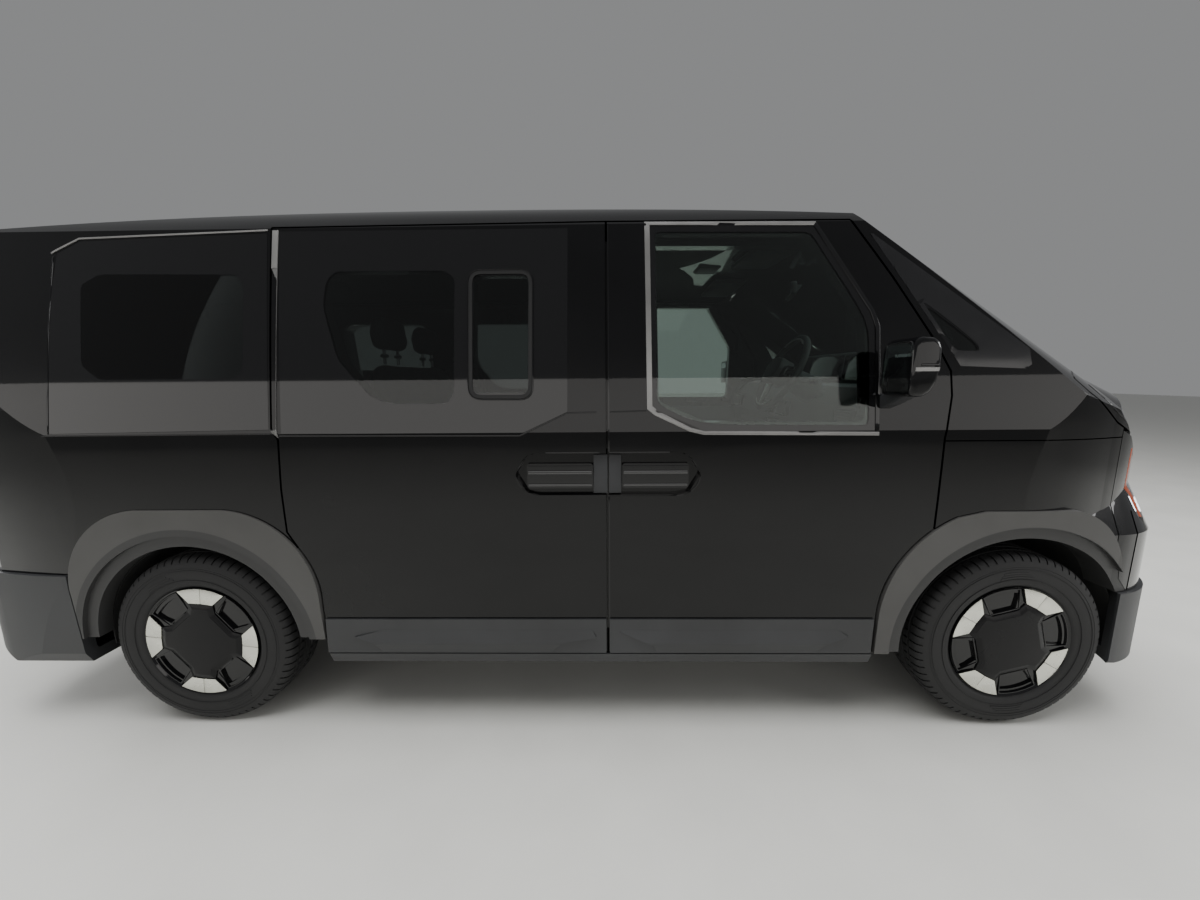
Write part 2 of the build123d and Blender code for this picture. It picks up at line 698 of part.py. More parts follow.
# Rocker strips under the doors
rocker_region = [(-930, underbody_z + 2), (-930, rocker_top_z - 3), (1068, rocker_top_z - 3),
                 (1068, underbody_z + 2)]
with BuildPart() as rocker_strips:
    strip = side_cladding(rocker_region)
    add(strip)
    add(other_side(strip))
save(rocker_strips.part, "rocker_strips")

# Floor: flat over the battery, raised behind the rear seats, cut round the wheels
floor_z = 300.0
floor_thickness = 40.0
load_floor_z = 590.0
load_floor_front_x = -1010.0
floor_front_x = 1330.0
with BuildPart() as floor_pan:
    add(wall_back & box_between((-1040, -1000, floor_z), (floor_front_x, 1000,
                                                         floor_z + floor_thickness)))
    add(wall_back & box_between((-2215, -1000, load_floor_z - 36),
                                (load_floor_front_x, 1000, load_floor_z)))
    add(cladding_inner & box_between((-2400, -670, load_floor_z - 36),
                                     (-2200, 670, load_floor_z)))
    add(wall_back & box_between((load_floor_front_x - 36, -1000, floor_z),
                                (load_floor_front_x, 1000, load_floor_z)))
    add(front_wheelhouses, mode=Mode.SUBTRACT)
    add(rear_wheelhouses, mode=Mode.SUBTRACT)
save(floor_pan.part, "floor_pan")

# Traction battery under the floor
battery_height = 122.0
with BuildPart() as battery_pack:
    with Locations((100, 0, floor_z - battery_height / 2)):
        Box(1850, 1300, battery_height)
    fillet(battery_pack.edges().filter_by(Axis.Z), radius=60)
save(battery_pack.part, "battery_pack")

# Front bulkhead
bulkhead_top_z = 1170.0
with BuildPart() as bulkhead:
    add(wall_back & box_between((floor_front_x - 26, -1000, floor_z + floor_thickness),
                                (floor_front_x, 1000, bulkhead_top_z)))
    add(front_wheelhouses, mode=Mode.SUBTRACT)
save(bulkhead.part, "bulkhead")

# Wheelhouse liners: an arched skin over each wheel and a wall on its inner side
with BuildPart() as liners_right:
    for wheel_x, arch, inner_y in ((front_axle_x, front_arch_radius, front_wheelhouse_inner_y),
                                   (rear_axle_x, rear_arch_radius, rear_wheelhouse_inner_y)):
        with BuildSketch(Plane.XZ.offset(inner_y)):
            with Locations((wheel_x, axle_z)):
                Circle(arch + liner_thickness)
        extrude(amount=872 - inner_y)
        with BuildSketch(Plane.XZ.offset(inner_y + liner_thickness)):
            with Locations((wheel_x, axle_z)):
                Circle(arch)
        extrude(amount=1000 - inner_y, mode=Mode.SUBTRACT)
        add(box_between((wheel_x - 600, -1100, -200), (wheel_x + 600, 0, liner_low_z)),
            mode=Mode.SUBTRACT)
    for neighbour in (flares_right.part, front_bumper.part, rear_bumper.part,
                      nose_panel.part):
        add(neighbour, mode=Mode.SUBTRACT)
    # Openings for the drive shaft, the track rod, the lower arm and the strut
    add(box_between((front_axle_x - 150, -front_wheelhouse_inner_y - 20, liner_low_z - 10),
                    (front_axle_x + 110, -front_wheelhouse_inner_y + 20, axle_z + 60)),
        mode=Mode.SUBTRACT)
    with BuildSketch(right_kingpin):
        Circle(spring_radius + 12)
    extrude(amount=900, mode=Mode.SUBTRACT)
with BuildPart() as wheel_liners:
    add(liners_right.part)
    add(other_side(liners_right.part))
save(wheel_liners.part, "wheel_liners")

# Front doors
door_inner_y = roof_side_y + shut_gap + 1
handle_recess = [(-210, 980), (-171, 1044), (-126, 1053), (342, 1053), (387, 1044), (426, 980),
                 (387, 916), (342, 907), (-126, 907), (-171, 916)]
handle_recess_depth = 24.0
handle_recess_back = body_volume(handle_recess_depth)
handle_room = right_side(outline(handle_recess, round_by=12), from_y=700) - handle_recess_back
with BuildPart() as front_door_right:
    add(outer)
    add(skin_back, mode=Mode.SUBTRACT)
    add(right_side(outline(front_door_edge), from_y=door_inner_y), mode=Mode.INTERSECT)
    add(right_side(flare_outline(front_axle_x, grow=shut_gap)), mode=Mode.SUBTRACT)
    add(right_side(outline(front_glass_edge, grow=glass_seat)) - glass_back, mode=Mode.SUBTRACT)
    add(right_side(outline(front_glass_edge, grow=-30, round_by=30)), mode=Mode.SUBTRACT)
    add(handle_room, mode=Mode.SUBTRACT)
save(front_door_right.part, "front_door_right")
save(other_side(front_door_right.part), "front_door_left")
with BuildPart() as front_glass_right:
    add(right_side(outline(front_glass_edge)))
    add(outer, mode=Mode.INTERSECT)
    add(glass_inner, mode=Mode.SUBTRACT)
save(front_glass_right.part, "front_door_glass_right")
save(other_side(front_glass_right.part), "front_door_glass_left")

# Sliding doors, shut
with BuildPart() as sliding_door_right:
    add(outer)
    add(skin_back, mode=Mode.SUBTRACT)
    add(right_side(outline(sliding_door_edge), from_y=door_inner_y), mode=Mode.INTERSECT)
    add(box_between((110 - shut_gap, -1200, 0), (200, 0, 2000)), mode=Mode.SUBTRACT)
    add(right_side(flare_outline(rear_axle_x, grow=shut_gap)), mode=Mode.SUBTRACT)
    add(right_side(outline(sliding_glass_edge, grow=glass_seat)) - glass_back, mode=Mode.SUBTRACT)
    add(right_side(outline(sliding_main_opening, round_by=24)), mode=Mode.SUBTRACT)
    add(right_side(outline(sliding_vent_opening, round_by=24)), mode=Mode.SUBTRACT)
    add(handle_room, mode=Mode.SUBTRACT)
save(sliding_door_right.part, "sliding_door_right")
save(other_side(sliding_door_right.part), "sliding_door_left")
with BuildPart() as sliding_door_glass:
    for hand in (1, -1):
        pane = right_side(outline(sliding_glass_edge)) & outer
        pane = pane - glass_inner
        add(pane if hand == 1 else other_side(pane))
save(sliding_door_glass.part, "sliding_door_glass")

# Door handles: a paddle on two feet in each half of the shared recess
def door_handle(from_x, to_x):
    """Paddle between two places along the van, with its feet on the recess floor."""
    paddle = right_side(outline([(from_x, 930), (from_x, 1016), (to_x, 1016), (to_x, 930)],
                                round_by=10), from_y=700)
    paddle = (paddle & handle_face) - handle_back
    for foot_x in (from_x + 24, to_x - 24):
        foot = box_between((foot_x - 14, -1000, 956), (foot_x + 14, -700, 990))
        paddle = paddle + ((foot & handle_face) - handle_recess_back)
    return paddle


handle_face = body_volume(3)
handle_back = body_volume(13)
handle_middle_x = 108.0
front_handle = door_handle(handle_middle_x + 50, handle_middle_x + 278)
save(front_handle, "front_door_handle_right")
save(other_side(front_handle), "front_door_handle_left")
rear_handle = door_handle(handle_middle_x - 278, handle_middle_x - 50)
with BuildPart() as sliding_door_handles:
    add(rear_handle)
    add(other_side(rear_handle))
save(sliding_door_handles.part, "sliding_door_handles")

# Fixed side windows: rear quarter panes and the small panes behind the windscreen pillars
with BuildPart() as quarter_windows:
    for edge in (rear_quarter_edge, front_quarter_edge):
        pane = right_side(outline(edge)) & outer
        pane = pane - glass_inner
        add(pane)
        add(other_side(pane))
save(quarter_windows.part, "quarter_windows")

# Dark cladding along the foot of each door and the rocker strip below it
cladding_ridge = [(928, 308), (932.5, 308), (945.5, 345), (945.5, 352), (937.4, 397), (928, 397)]
front_facet_ends = [(158, 398), (150, 392), (270, 340), (290, 300), (860, 300), (895, 345),
                    (975, 375), (942, 398)]
sliding_facet_ends = [(-826, 371), (-724, 398), (49, 398), (63, 371), (-64, 350), (-110, 300),
                      (-720, 300), (-757, 350)]
front_cladding_region = [(113, rocker_top_z + 1), (113, cladding_top_z), (1062, cladding_top_z),
                         (1064, rocker_top_z + 1)]
sliding_cladding_region = [(-934, rocker_top_z + 1), (-928, cladding_top_z), (100, cladding_top_z),
                           (100, rocker_top_z + 1)]


front_cladding = side_cladding(front_cladding_region, front_facet_ends)
save(front_cladding, "front_door_cladding_right")
save(other_side(front_cladding), "front_door_cladding_left")
with BuildPart() as sliding_door_cladding:
    strip = side_cladding(sliding_cladding_region, sliding_facet_ends)
    add(strip)
    add(other_side(strip))
save(sliding_door_cladding.part, "sliding_door_cladding")

# Tailgate with its seat for the rear window
tail_glass = [(-640, 1215), (-600, 1700), (600, 1700), (640, 1215)]
with BuildPart() as tailgate:
    add(outer)
    add(skin_back, mode=Mode.SUBTRACT)
    add(from_behind(outline(tail_opening), -2400, -2184), mode=Mode.INTERSECT)
    add(from_behind(outline(tail_glass, grow=glass_seat), -2400, -2150) - glass_back,
        mode=Mode.SUBTRACT)
    add(from_behind(outline(tail_glass, grow=-40, round_by=40), -2400, -2150), mode=Mode.SUBTRACT)
save(tailgate.part, "tailgate")
with BuildPart() as tailgate_glass:
    add(from_behind(outline(tail_glass), -2400, -2150))
    add(outer, mode=Mode.INTERSECT)
    add(glass_inner, mode=Mode.SUBTRACT)
save(tailgate_glass.part, "tailgate_glass")


# Running gear
hub_radius = 30.0
bearing_clearance = 0.3
disc_radius = 150.0
disc_thickness = 24.0
knuckle_outer_y = wheel_y - 56
knuckle_inner_y = knuckle_outer_y - 42
steering_arm = 125.0


def ring_sector(inner_r, outer_r, inner_half, outer_half, middle):
    """Part of a flat ring between two radii; each half angle is in degrees either side."""
    def at(radius, angle):
        turn = math.radians(middle + angle)
        return (radius * math.cos(turn), radius * math.sin(turn))
    with BuildSketch() as face:
        with BuildLine():
            ThreePointArc(at(outer_r, -outer_half), at(outer_r, 0), at(outer_r, outer_half))
            Line(at(outer_r, outer_half), at(inner_r, inner_half))
            ThreePointArc(at(inner_r, inner_half), at(inner_r, 0), at(inner_r, -inner_half))
            Line(at(inner_r, -inner_half), at(outer_r, -outer_half))
        make_face()
    return face.sketch


# One tyre and one wheel about the Y axis, with the outer face towards -Y
with BuildPart() as tyre:
    with BuildSketch(Plane.YZ):
        with BuildLine():
            half = tyre_width / 2
            Polyline((-87.7, 217), (-87.7, 206), (87.7, 206), (87.7, 217))
            ThreePointArc((87.7, 217), (half, 268), (half - 9, 318))
            ThreePointArc((half - 9, 318), (half - 15, 329), (half - 28, tyre_radius - 3))
            ThreePointArc((half - 28, tyre_radius - 3), (0, tyre_radius),
                          (28 - half, tyre_radius - 3))
            ThreePointArc((28 - half, tyre_radius - 3), (15 - half, 329), (9 - half, 318))
            ThreePointArc((9 - half, 318), (-half, 268), (-87.7, 217))
        make_face()
    revolve(axis=Axis.Y)

cover_y = -97.0
with BuildPart() as wheel:
    # Barrel with its two flanges, the wheel disc, hub stub and brake disc in one turning
    with BuildSketch(Plane.YZ):
        with BuildLine():
            Polyline((-101, 216), (-88, 216), (-88, 205.7), (88, 205.7), (88, 216), (101, 216),
                     (101, 192), (-60, 190), (-64, 96), (-64, 48), (-8, 48), (-8, disc_radius),
                     (-8 + disc_thickness, disc_radius), (-8 + disc_thickness, 62),
                     (40, 62), (40, hub_radius), (92, hub_radius), (92, 0), (cover_y + 3, 0),
                     (cover_y, 60), (cover_y + 2, 150), (cover_y + 5, 205), (-101, 216))
        make_face()
    revolve(axis=Axis.Y)
    # Hollow between the cover and the wheel disc
    with BuildSketch(Plane.YZ):
        with BuildLine():
            Polyline((cover_y + 12, 70), (cover_y + 13, 196), (-72, 188), (-72, 70),
                     (cover_y + 12, 70))
        make_face()
    revolve(axis=Axis.Y, mode=Mode.SUBTRACT)
    # Four windows in the cover, and round holes in the disc behind
    with BuildSketch(Plane.XZ.offset(85)):
        for corner in range(4):
            add(ring_sector(124, 192, 17, 19, corner * 90 + 45))
    extrude(amount=40, mode=Mode.SUBTRACT)
    with BuildSketch(Plane.XZ.offset(40)):
        with PolarLocations(134, 10):
            Circle(24)
    extrude(amount=40, mode=Mode.SUBTRACT)
    # Four proud rim segments on the cover
    with BuildSketch(Plane.XZ.offset(-cover_y - 4)):
        for corner in range(4):
            add(ring_sector(160, 211, 17, 24, corner * 90))
    extrude(amount=6)

wheel_phase = {"front": 60.0, "rear": 84.0}
places = {"front": front_axle_x, "rear": rear_axle_x}
for end, wheel_x in places.items():
    for side, sign in (("right", -1), ("left", 1)):
        with BuildPart() as placed_tyre:
            with Locations((wheel_x, sign * wheel_y, axle_z)):
                add(tyre.part)
        save(placed_tyre.part, f"tyre_{end}_{side}")
        turned = wheel.part.rotate(Axis.Y, -wheel_phase[end])
        if side == "left":
            turned = other_side(turned)
        with BuildPart() as placed_wheel:
            with Locations((wheel_x, sign * wheel_y, axle_z)):
                add(turned)
        save(placed_wheel.part, f"wheel_{end}_{side}")


def hub_carrier(wheel_x):
    """Upright with its bearing boss and the brake caliper ahead of the axle."""
    with BuildPart() as carrier:
        with BuildSketch(Plane.XZ.offset(knuckle_inner_y)):
            with BuildLine():
                Polyline((wheel_x - 40, axle_z - 105), (wheel_x + 40, axle_z - 105),
                         (wheel_x + 58, axle_z), (wheel_x + 30, axle_z + 130),
                         (wheel_x - 30, axle_z + 130), (wheel_x - 58, axle_z),
                         (wheel_x - 40, axle_z - 105))
            make_face()
        extrude(amount=knuckle_outer_y - knuckle_inner_y)
        # Caliper bridge over the disc's front edge
        with BuildSketch(Plane.XZ.offset(knuckle_inner_y)):
            with BuildLine():
                Polyline((wheel_x + 30, axle_z - 40), (wheel_x + 120, axle_z - 62),
                         (wheel_x + 168, axle_z - 50), (wheel_x + 176, axle_z),
                         (wheel_x + 168, axle_z + 50), (wheel_x + 120, axle_z + 62),
                         (wheel_x + 30, axle_z + 40), (wheel_x + 30, axle_z - 40))
            make_face()
        extrude(amount=wheel_y + 36 - knuckle_inner_y)
        # Clear the hub, the disc and the wheel disc's back
        with BuildSketch(Plane.XZ.offset(knuckle_outer_y)):
            with Locations((wheel_x, axle_z)):
                Circle(100)
        extrude(amount=200, mode=Mode.SUBTRACT)
        with BuildSketch(Plane.XZ.offset(wheel_y - 22)):
            with Locations((wheel_x, axle_z)):
                Circle(disc_radius + 4)
        extrude(amount=disc_thickness + 12, mode=Mode.SUBTRACT)
        with BuildSketch(Plane.XZ.offset(knuckle_inner_y - 1)):
            with Locations((wheel_x, axle_z)):
                Circle(hub_radius + bearing_clearance)
        extrude(amount=200, mode=Mode.SUBTRACT)
    return carrier.part


kingpin_radius = 15.0
strut_radius = 26.0
strut_foot = 262.0
tower_top = 650.0
with BuildPart() as knuckle_right:
    add(hub_carrier(front_axle_x))
    # Steering arm, the lower ball joint's pin and the strut's clamp on the steering axis
    add(box_between((front_axle_x - steering_arm - 16, -kingpin_y - 12, 238),
                    (front_axle_x - 30, -kingpin_y + 18, 252)))
    add(box_between((front_axle_x - 40, -knuckle_inner_y - 20, 238),
                    (front_axle_x - 20, -kingpin_y + 18, 252)))
    with BuildSketch(right_kingpin.offset(-18)):
        Circle(kingpin_radius)
    extrude(amount=42)
    with BuildSketch(right_kingpin.offset(strut_foot - 60)):
        Circle(strut_radius + 12)
    extrude(amount=60)
    add(box_between((front_axle_x - 24, -knuckle_outer_y + 4, axle_z + 90),
                    (front_axle_x + 24, -knuckle_inner_y + 24, axle_z + 126)))
save(knuckle_right.part, "steering_knuckle_right")
save(other_side(knuckle_right.part), "steering_knuckle_left")

# Front frame: rails, strut towers, cross-members and the lower arms
rail_y = 455.0
tower_top_z = 880.0
rack_x = front_axle_x - steering_arm
rack_z = 287.0
rack_radius = 10.0
arm_z = 200.0
arm_thickness = 24.0
left_kingpin = Plane(origin=(front_axle_x, kingpin_foot[0], kingpin_foot[1]), x_dir=(1, 0, 0),
                     z_dir=(0, -math.sin(kingpin_lean), math.cos(kingpin_lean)))
with BuildPart() as front_frame:
    for side in (1, -1):
        add(box_between((floor_front_x, side * rail_y - 30, 430),
                        (2206, side * rail_y + 30, 560)))
        # Strut tower
        add(box_between((front_axle_x - 80, side * rail_y - 30, 540),
                        (front_axle_x + 80, side * rail_y + 30, tower_top_z)))
        low_y, high_y = sorted((side * (rail_y - 30), side * (kingpin_head[0] + 90)))
        add(box_between((front_axle_x - 80, low_y, tower_top_z - 34),
                        (front_axle_x + 80, high_y, tower_top_z)))
        for post_x in (1440, 1680):
            add(box_between((post_x - 25, side * 430 - 20, 200), (post_x + 25, side * 430 + 20, 440)))
        # Lower arm out to the ball joint
        with BuildSketch(Plane.XY.offset(arm_z)):
            with BuildLine():
                Polyline((1420, side * 420), (1550, side * kingpin_foot[0]),
                         (1600, side * kingpin_foot[0]), (1700, side * 420), (1420, side * 420))
            make_face()
            with Locations((front_axle_x, side * kingpin_foot[0])):
                Circle(34)
        extrude(amount=arm_thickness)
        eye_axis = right_kingpin if side == -1 else left_kingpin
        with BuildSketch(eye_axis.offset(-60)):
            Circle(kingpin_radius + bearing_clearance)
        extrude(amount=120, mode=Mode.SUBTRACT)
    add(box_between((1410, -450, arm_z), (1710, 450, arm_z + 34)))
    add(box_between((2170, -520, 470), (2206, 520, 590)))
    # Rack housing
    with Locations(Location((rack_x, 0, rack_z), (90, 0, 0))):
        Cylinder(27, 760)
    add(box_between((rack_x - 20, -300, 230), (rack_x + 20, 300, rack_z)))
    with Locations(Location((rack_x, 0, rack_z), (90, 0, 0))):
        Cylinder(rack_radius + 0.3, 900, mode=Mode.SUBTRACT)
save(front_frame.part, "front_frame")

with BuildPart() as steering_rack:
    with Locations(Location((rack_x, 0, rack_z), (90, 0, 0))):
        Cylinder(rack_radius, 2 * (kingpin_y - 12))
    with Locations((rack_x, kingpin_y - 6, rack_z), (rack_x, 6 - kingpin_y, rack_z)):
        Sphere(rack_radius + 2)
save(steering_rack.part, "steering_rack")

# Front struts: damper body and spring over the knuckle's clamp, up to the tower
with BuildPart() as strut_right:
    with BuildSketch(right_kingpin.offset(strut_foot + glass_seat)):
        Circle(strut_radius)
    extrude(amount=400)
    with BuildSketch(right_kingpin.offset(500)):
        Circle(spring_radius + 4)
    extrude(amount=8)
    for turn in range(4):
        with BuildSketch(right_kingpin.offset(514 + turn * 32)):
            Circle(spring_radius)
            Circle(spring_radius - 36, mode=Mode.SUBTRACT)
        extrude(amount=14)
    add(box_between((front_axle_x - 200, -1000, tower_top_z - 34),
                    (front_axle_x + 200, 0, tower_top_z + 300)), mode=Mode.SUBTRACT)
with BuildPart() as front_struts:
    add(strut_right.part)
    add(other_side(strut_right.part))
save(front_struts.part, "front_struts")

# Electric drive unit with its half shafts
with BuildPart() as drive_unit:
    with Locations((front_axle_x + 70, 0, 440)):
        Box(300, 560, 350)
    fillet(drive_unit.edges().filter_by(Axis.Y), radius=50)
    with Locations(Location((front_axle_x, 0, axle_z), (90, 0, 0))):
        Cylinder(14, 1280)
    with Locations(Location((front_axle_x, 625, axle_z), (90, 0, 0)),
                   Location((front_axle_x, -625, axle_z), (90, 0, 0))):
        Cylinder(34, 50)
    for side in (1, -1):
        low_y, high_y = sorted((side * 270, side * (rail_y - 30)))
        add(box_between((front_axle_x + 30, low_y, 450), (front_axle_x + 110, high_y, 530)))
save(drive_unit.part, "drive_unit")

# Rear axle: torsion beam, trailing arms, hub carriers, springs
arm_front_x = rear_axle_x + 470
with BuildPart() as rear_axle:
    for side in (1, -1):
        add(hub_carrier(rear_axle_x) if side == -1 else other_side(hub_carrier(rear_axle_x)))
        with BuildSketch(Plane.XY.offset(262)):
            with BuildLine():
                Polyline((arm_front_x, side * 500), (arm_front_x, side * 560),
                         (rear_axle_x + 60, side * knuckle_outer_y),
                         (rear_axle_x - 50, side * knuckle_outer_y),
                         (rear_axle_x - 50, side * (knuckle_inner_y - 10)),
                         (rear_axle_x + 40, side * (knuckle_inner_y - 40)),
                         (arm_front_x, side * 500))
            make_face()
        extrude(amount=floor_z - 262)
        low_y, high_y = sorted((side * 460, side * (knuckle_inner_y - 5)))
        add(box_between((rear_axle_x + 60, low_y, 262), (rear_axle_x + 180, high_y, floor_z)))
        # Spring and damper up to the raised floor
        with Locations((rear_axle_x + 120, side * 500, (floor_z + load_floor_z - 36) / 2)):
            Cylinder(48, load_floor_z - 36 - floor_z)
    add(box_between((rear_axle_x + 90, -520, 262), (rear_axle_x + 160, 520, floor_z)))
save(rear_axle.part, "rear_axle")

# Cabin: dashboard, steering wheel and seats
with BuildPart() as dashboard:
    with BuildSketch(Plane.XZ):
        with BuildLine():
            Polyline((1303.9, 690), (1180, 690), (1090, 760), (1036, 950), (1020, 1090),
                     (1040, 1190), (1098, 1256), (1210, 1274), (1340, 1256), (1500, 1238),
                     (1640, 1246), (1640, 1226), (1331, 1171), (1303.9, 1171), (1303.9, 690))
        make_face()
    extrude(amount=900, both=True)
    add(wall_back, mode=Mode.INTERSECT)
save(dashboard.part, "dashboard")

driver_y = -385.0
wheel_rim_radius = 173.0
column_tilt = 28.0
with BuildPart() as steering_wheel:
    with Locations(Location((888, driver_y, 1316), (0, 90 + column_tilt, 0))):
        Torus(wheel_rim_radius, 14)
        Cylinder(62, 40)
        Box(30, 2 * wheel_rim_radius, 18)
        Cylinder(24, 240, align=(Align.CENTER, Align.CENTER, Align.MIN))
    add(dashboard.part, mode=Mode.SUBTRACT)
save(steering_wheel.part, "steering_wheel")


cabin_floor_z = floor_z + floor_thickness


def seat(heel_x, width, middle_y, base_z):
    """Cushion, backrest and base of one seat, facing forward."""
    with BuildPart() as chair:
        with BuildSketch(Plane.XZ.offset(-middle_y)) as side_face:
            with BuildLine():
                Polyline((heel_x + 500, base_z + 190), (heel_x + 520, base_z + 290),
                         (heel_x + 60, base_z + 280), (heel_x - 60, base_z + 930),
                         (heel_x - 170, base_z + 930), (heel_x - 110, base_z + 170),
                         (heel_x + 500, base_z + 190))
            make_face()
            fillet(side_face.vertices(), radius=32)
        extrude(amount=width / 2, both=True)
        with BuildSketch(Plane.XZ.offset(-middle_y)) as head_face:
            with BuildLine():
                Polyline((heel_x - 74, base_z + 920), (heel_x - 80, base_z + 1110),
                         (heel_x - 165, base_z + 1110), (heel_x - 158, base_z + 920),
                         (heel_x - 74, base_z + 920))
            make_face()
        extrude(amount=width / 4 if width < 600 else width / 3, both=True)
        add(box_between((heel_x - 60, middle_y - width / 2 + 30, cabin_floor_z),
                        (heel_x + 420, middle_y + width / 2 - 30, base_z + 200)))
    return chair.part


seat_base_z = cabin_floor_z + 130
with BuildPart() as front_seats:
    for side in (1, -1):
        add(seat(190, 500, side * -driver_y, seat_base_z))
save(front_seats.part, "front_seats")
with BuildPart() as rear_seats:
    add(seat(-700, 830, -285, seat_base_z))
    add(seat(-700, 540, 410, seat_base_z))
save(rear_seats.part, "rear_seats")

# Door mirrors
with BuildPart() as mirror_right:
    add(box_between((985, -1127.5, 1240), (1072, -972, 1418)))
    fillet(mirror_right.edges(), radius=22)
    add(box_between((1016, -1070, 1186), (1062, -900, 1250)))
    add(outer, mode=Mode.SUBTRACT)
save(mirror_right.part, "door_mirror_right")
save(other_side(mirror_right.part), "door_mirror_left")
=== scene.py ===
import json
import math
import bpy
from mathutils import Matrix, Vector


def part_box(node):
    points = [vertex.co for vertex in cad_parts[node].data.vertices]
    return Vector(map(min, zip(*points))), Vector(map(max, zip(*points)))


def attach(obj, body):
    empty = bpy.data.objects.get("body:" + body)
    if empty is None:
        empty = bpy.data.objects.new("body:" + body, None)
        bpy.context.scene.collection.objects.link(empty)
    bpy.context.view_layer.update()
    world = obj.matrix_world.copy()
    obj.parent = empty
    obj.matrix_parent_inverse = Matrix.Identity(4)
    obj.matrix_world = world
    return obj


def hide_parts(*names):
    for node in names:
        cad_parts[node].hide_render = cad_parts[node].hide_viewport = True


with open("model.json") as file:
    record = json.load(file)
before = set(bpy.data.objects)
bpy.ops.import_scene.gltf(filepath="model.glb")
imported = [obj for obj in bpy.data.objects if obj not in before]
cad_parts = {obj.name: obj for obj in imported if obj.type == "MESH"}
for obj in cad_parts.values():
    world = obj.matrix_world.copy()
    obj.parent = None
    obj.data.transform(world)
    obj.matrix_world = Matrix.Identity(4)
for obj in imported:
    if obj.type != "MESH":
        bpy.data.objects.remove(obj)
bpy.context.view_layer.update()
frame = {"nodes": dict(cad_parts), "record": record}
nodes = frame["nodes"]
scene = bpy.context.scene

# ---------------------------------------------------------------- camera, floor and light

lens_mm = 13.72
camera_place = (0.1077, -2.4757, 1.3155)
camera_pitch, camera_yaw, camera_roll = 9.295, 0.945, -0.475


def make_camera():
    data = bpy.data.cameras.new("camera")
    data.sensor_width = 36.0
    data.lens = lens_mm
    data.clip_end = 60.0
    camera = bpy.data.objects.new("camera", data)
    scene.collection.objects.link(camera)
    turn = (Matrix.Rotation(math.radians(camera_yaw), 4, "Z")
            @ Matrix.Rotation(math.radians(90.0 - camera_pitch), 4, "X")
            @ Matrix.Rotation(math.radians(camera_roll), 4, "Z"))
    camera.matrix_world = Matrix.Translation(camera_place) @ turn
    scene.camera = camera


def soft_light(name, place, aim, width, depth, watts, tint=(1.0, 1.0, 1.0)):
    data = bpy.data.lights.new(name, "AREA")
    data.shape = "RECTANGLE"
    data.size, data.size_y = width, depth
    data.energy = watts
    data.color = tint
    lamp = bpy.data.objects.new(name, data)
    scene.collection.objects.link(lamp)
    lamp.location = place
    lamp.rotation_euler = (Vector(aim) - Vector(place)).to_track_quat("-Z", "Y").to_euler()
    return lamp


def make_stage():
    world = bpy.data.worlds.new("studio")
    scene.world = world
    world.use_nodes = True
    tree = world.node_tree
    sky = tree.nodes["Background"]
    sky.inputs["Strength"].default_value = 0.30
    sky.inputs["Color"].default_value = (0.84, 0.85, 0.86, 1.0)
    soft_light("top_light", (0.2, -1.2, 6.4), (0.0, -0.4, 0.0), 9.0, 5.0, 760)
    soft_light("near_light", (0.0, -9.6, 2.7), (0.0, 0.0, 0.9), 30.0, 2.2, 330, (1.0, 0.97, 0.93))
    soft_light("front_light", (7.6, -2.0, 3.4), (1.4, -0.2, 0.9), 3.4, 2.0, 150)
    soft_light("far_light", (-1.0, 7.0, 8.0), (0.0, 0.0, 0.9), 8.0, 2.2, 380)
    soft_light("back_light", (-7.6, 1.0, 3.4), (-1.8, 0.0, 0.9), 3.4, 2.0, 150)
    for name in ("top_light", "far_light"):
        bpy.data.objects[name].visible_glossy = False
    bpy.ops.mesh.primitive_grid_add(x_subdivisions=2, y_subdivisions=2, size=60.0)
    floor = bpy.context.object
    floor.name = "studio_floor"
    floor.data.materials.append(floor_finish())


# ---------------------------------------------------------------- finishes

def new_finish(name, colour, roughness, **sockets):
    """A Principled material; the shader's plain values are set on its own sockets."""
    finish = bpy.data.materials.new(name)
    finish.use_nodes = True
    shader = finish.node_tree.nodes["Principled BSDF"]
    shader.inputs["Base Color"].default_value = (*colour, 1.0)
    shader.inputs["Roughness"].default_value = roughness
    for socket, value in sockets.items():
        shader.inputs[socket.replace("_", " ")].default_value = value
    return finish


def place_input(tree, scale=(1.0, 1.0, 1.0), turn=(0.0, 0.0, 0.0)):
    where = tree.nodes.new("ShaderNodeTexCoord")
    mapping = tree.nodes.new("ShaderNodeMapping")
    mapping.inputs["Scale"].default_value = scale
    mapping.inputs["Rotation"].default_value = turn
    tree.links.new(where.outputs["Object"], mapping.inputs["Vector"])
    return mapping.outputs["Vector"]


def noise(tree, vector, scale, detail=4.0, roughness=0.55):
    node = tree.nodes.new("ShaderNodeTexNoise")
    node.inputs["Scale"].default_value = scale
    node.inputs["Detail"].default_value = detail
    node.inputs["Roughness"].default_value = roughness
    tree.links.new(vector, node.inputs["Vector"])
    return node.outputs["Fac"]


def ramp(tree, value, stops):
    node = tree.nodes.new("ShaderNodeValToRGB")
    band = node.color_ramp
    while len(band.elements) < len(stops):
        band.elements.new(0.5)
    for element, (where, colour) in zip(band.elements, stops):
        element.position = where
        element.color = (*colour, 1.0) if len(colour) == 3 else colour
    tree.links.new(value, node.inputs["Fac"])
    return node.outputs["Color"]


def spread(tree, value, low, high):
    node = tree.nodes.new("ShaderNodeMapRange")
    node.inputs["From Min"].default_value = 0.3
    node.inputs["From Max"].default_value = 0.7
    node.inputs["To Min"].default_value = low
    node.inputs["To Max"].default_value = high
    tree.links.new(value, node.inputs["Value"])
    return node.outputs["Result"]


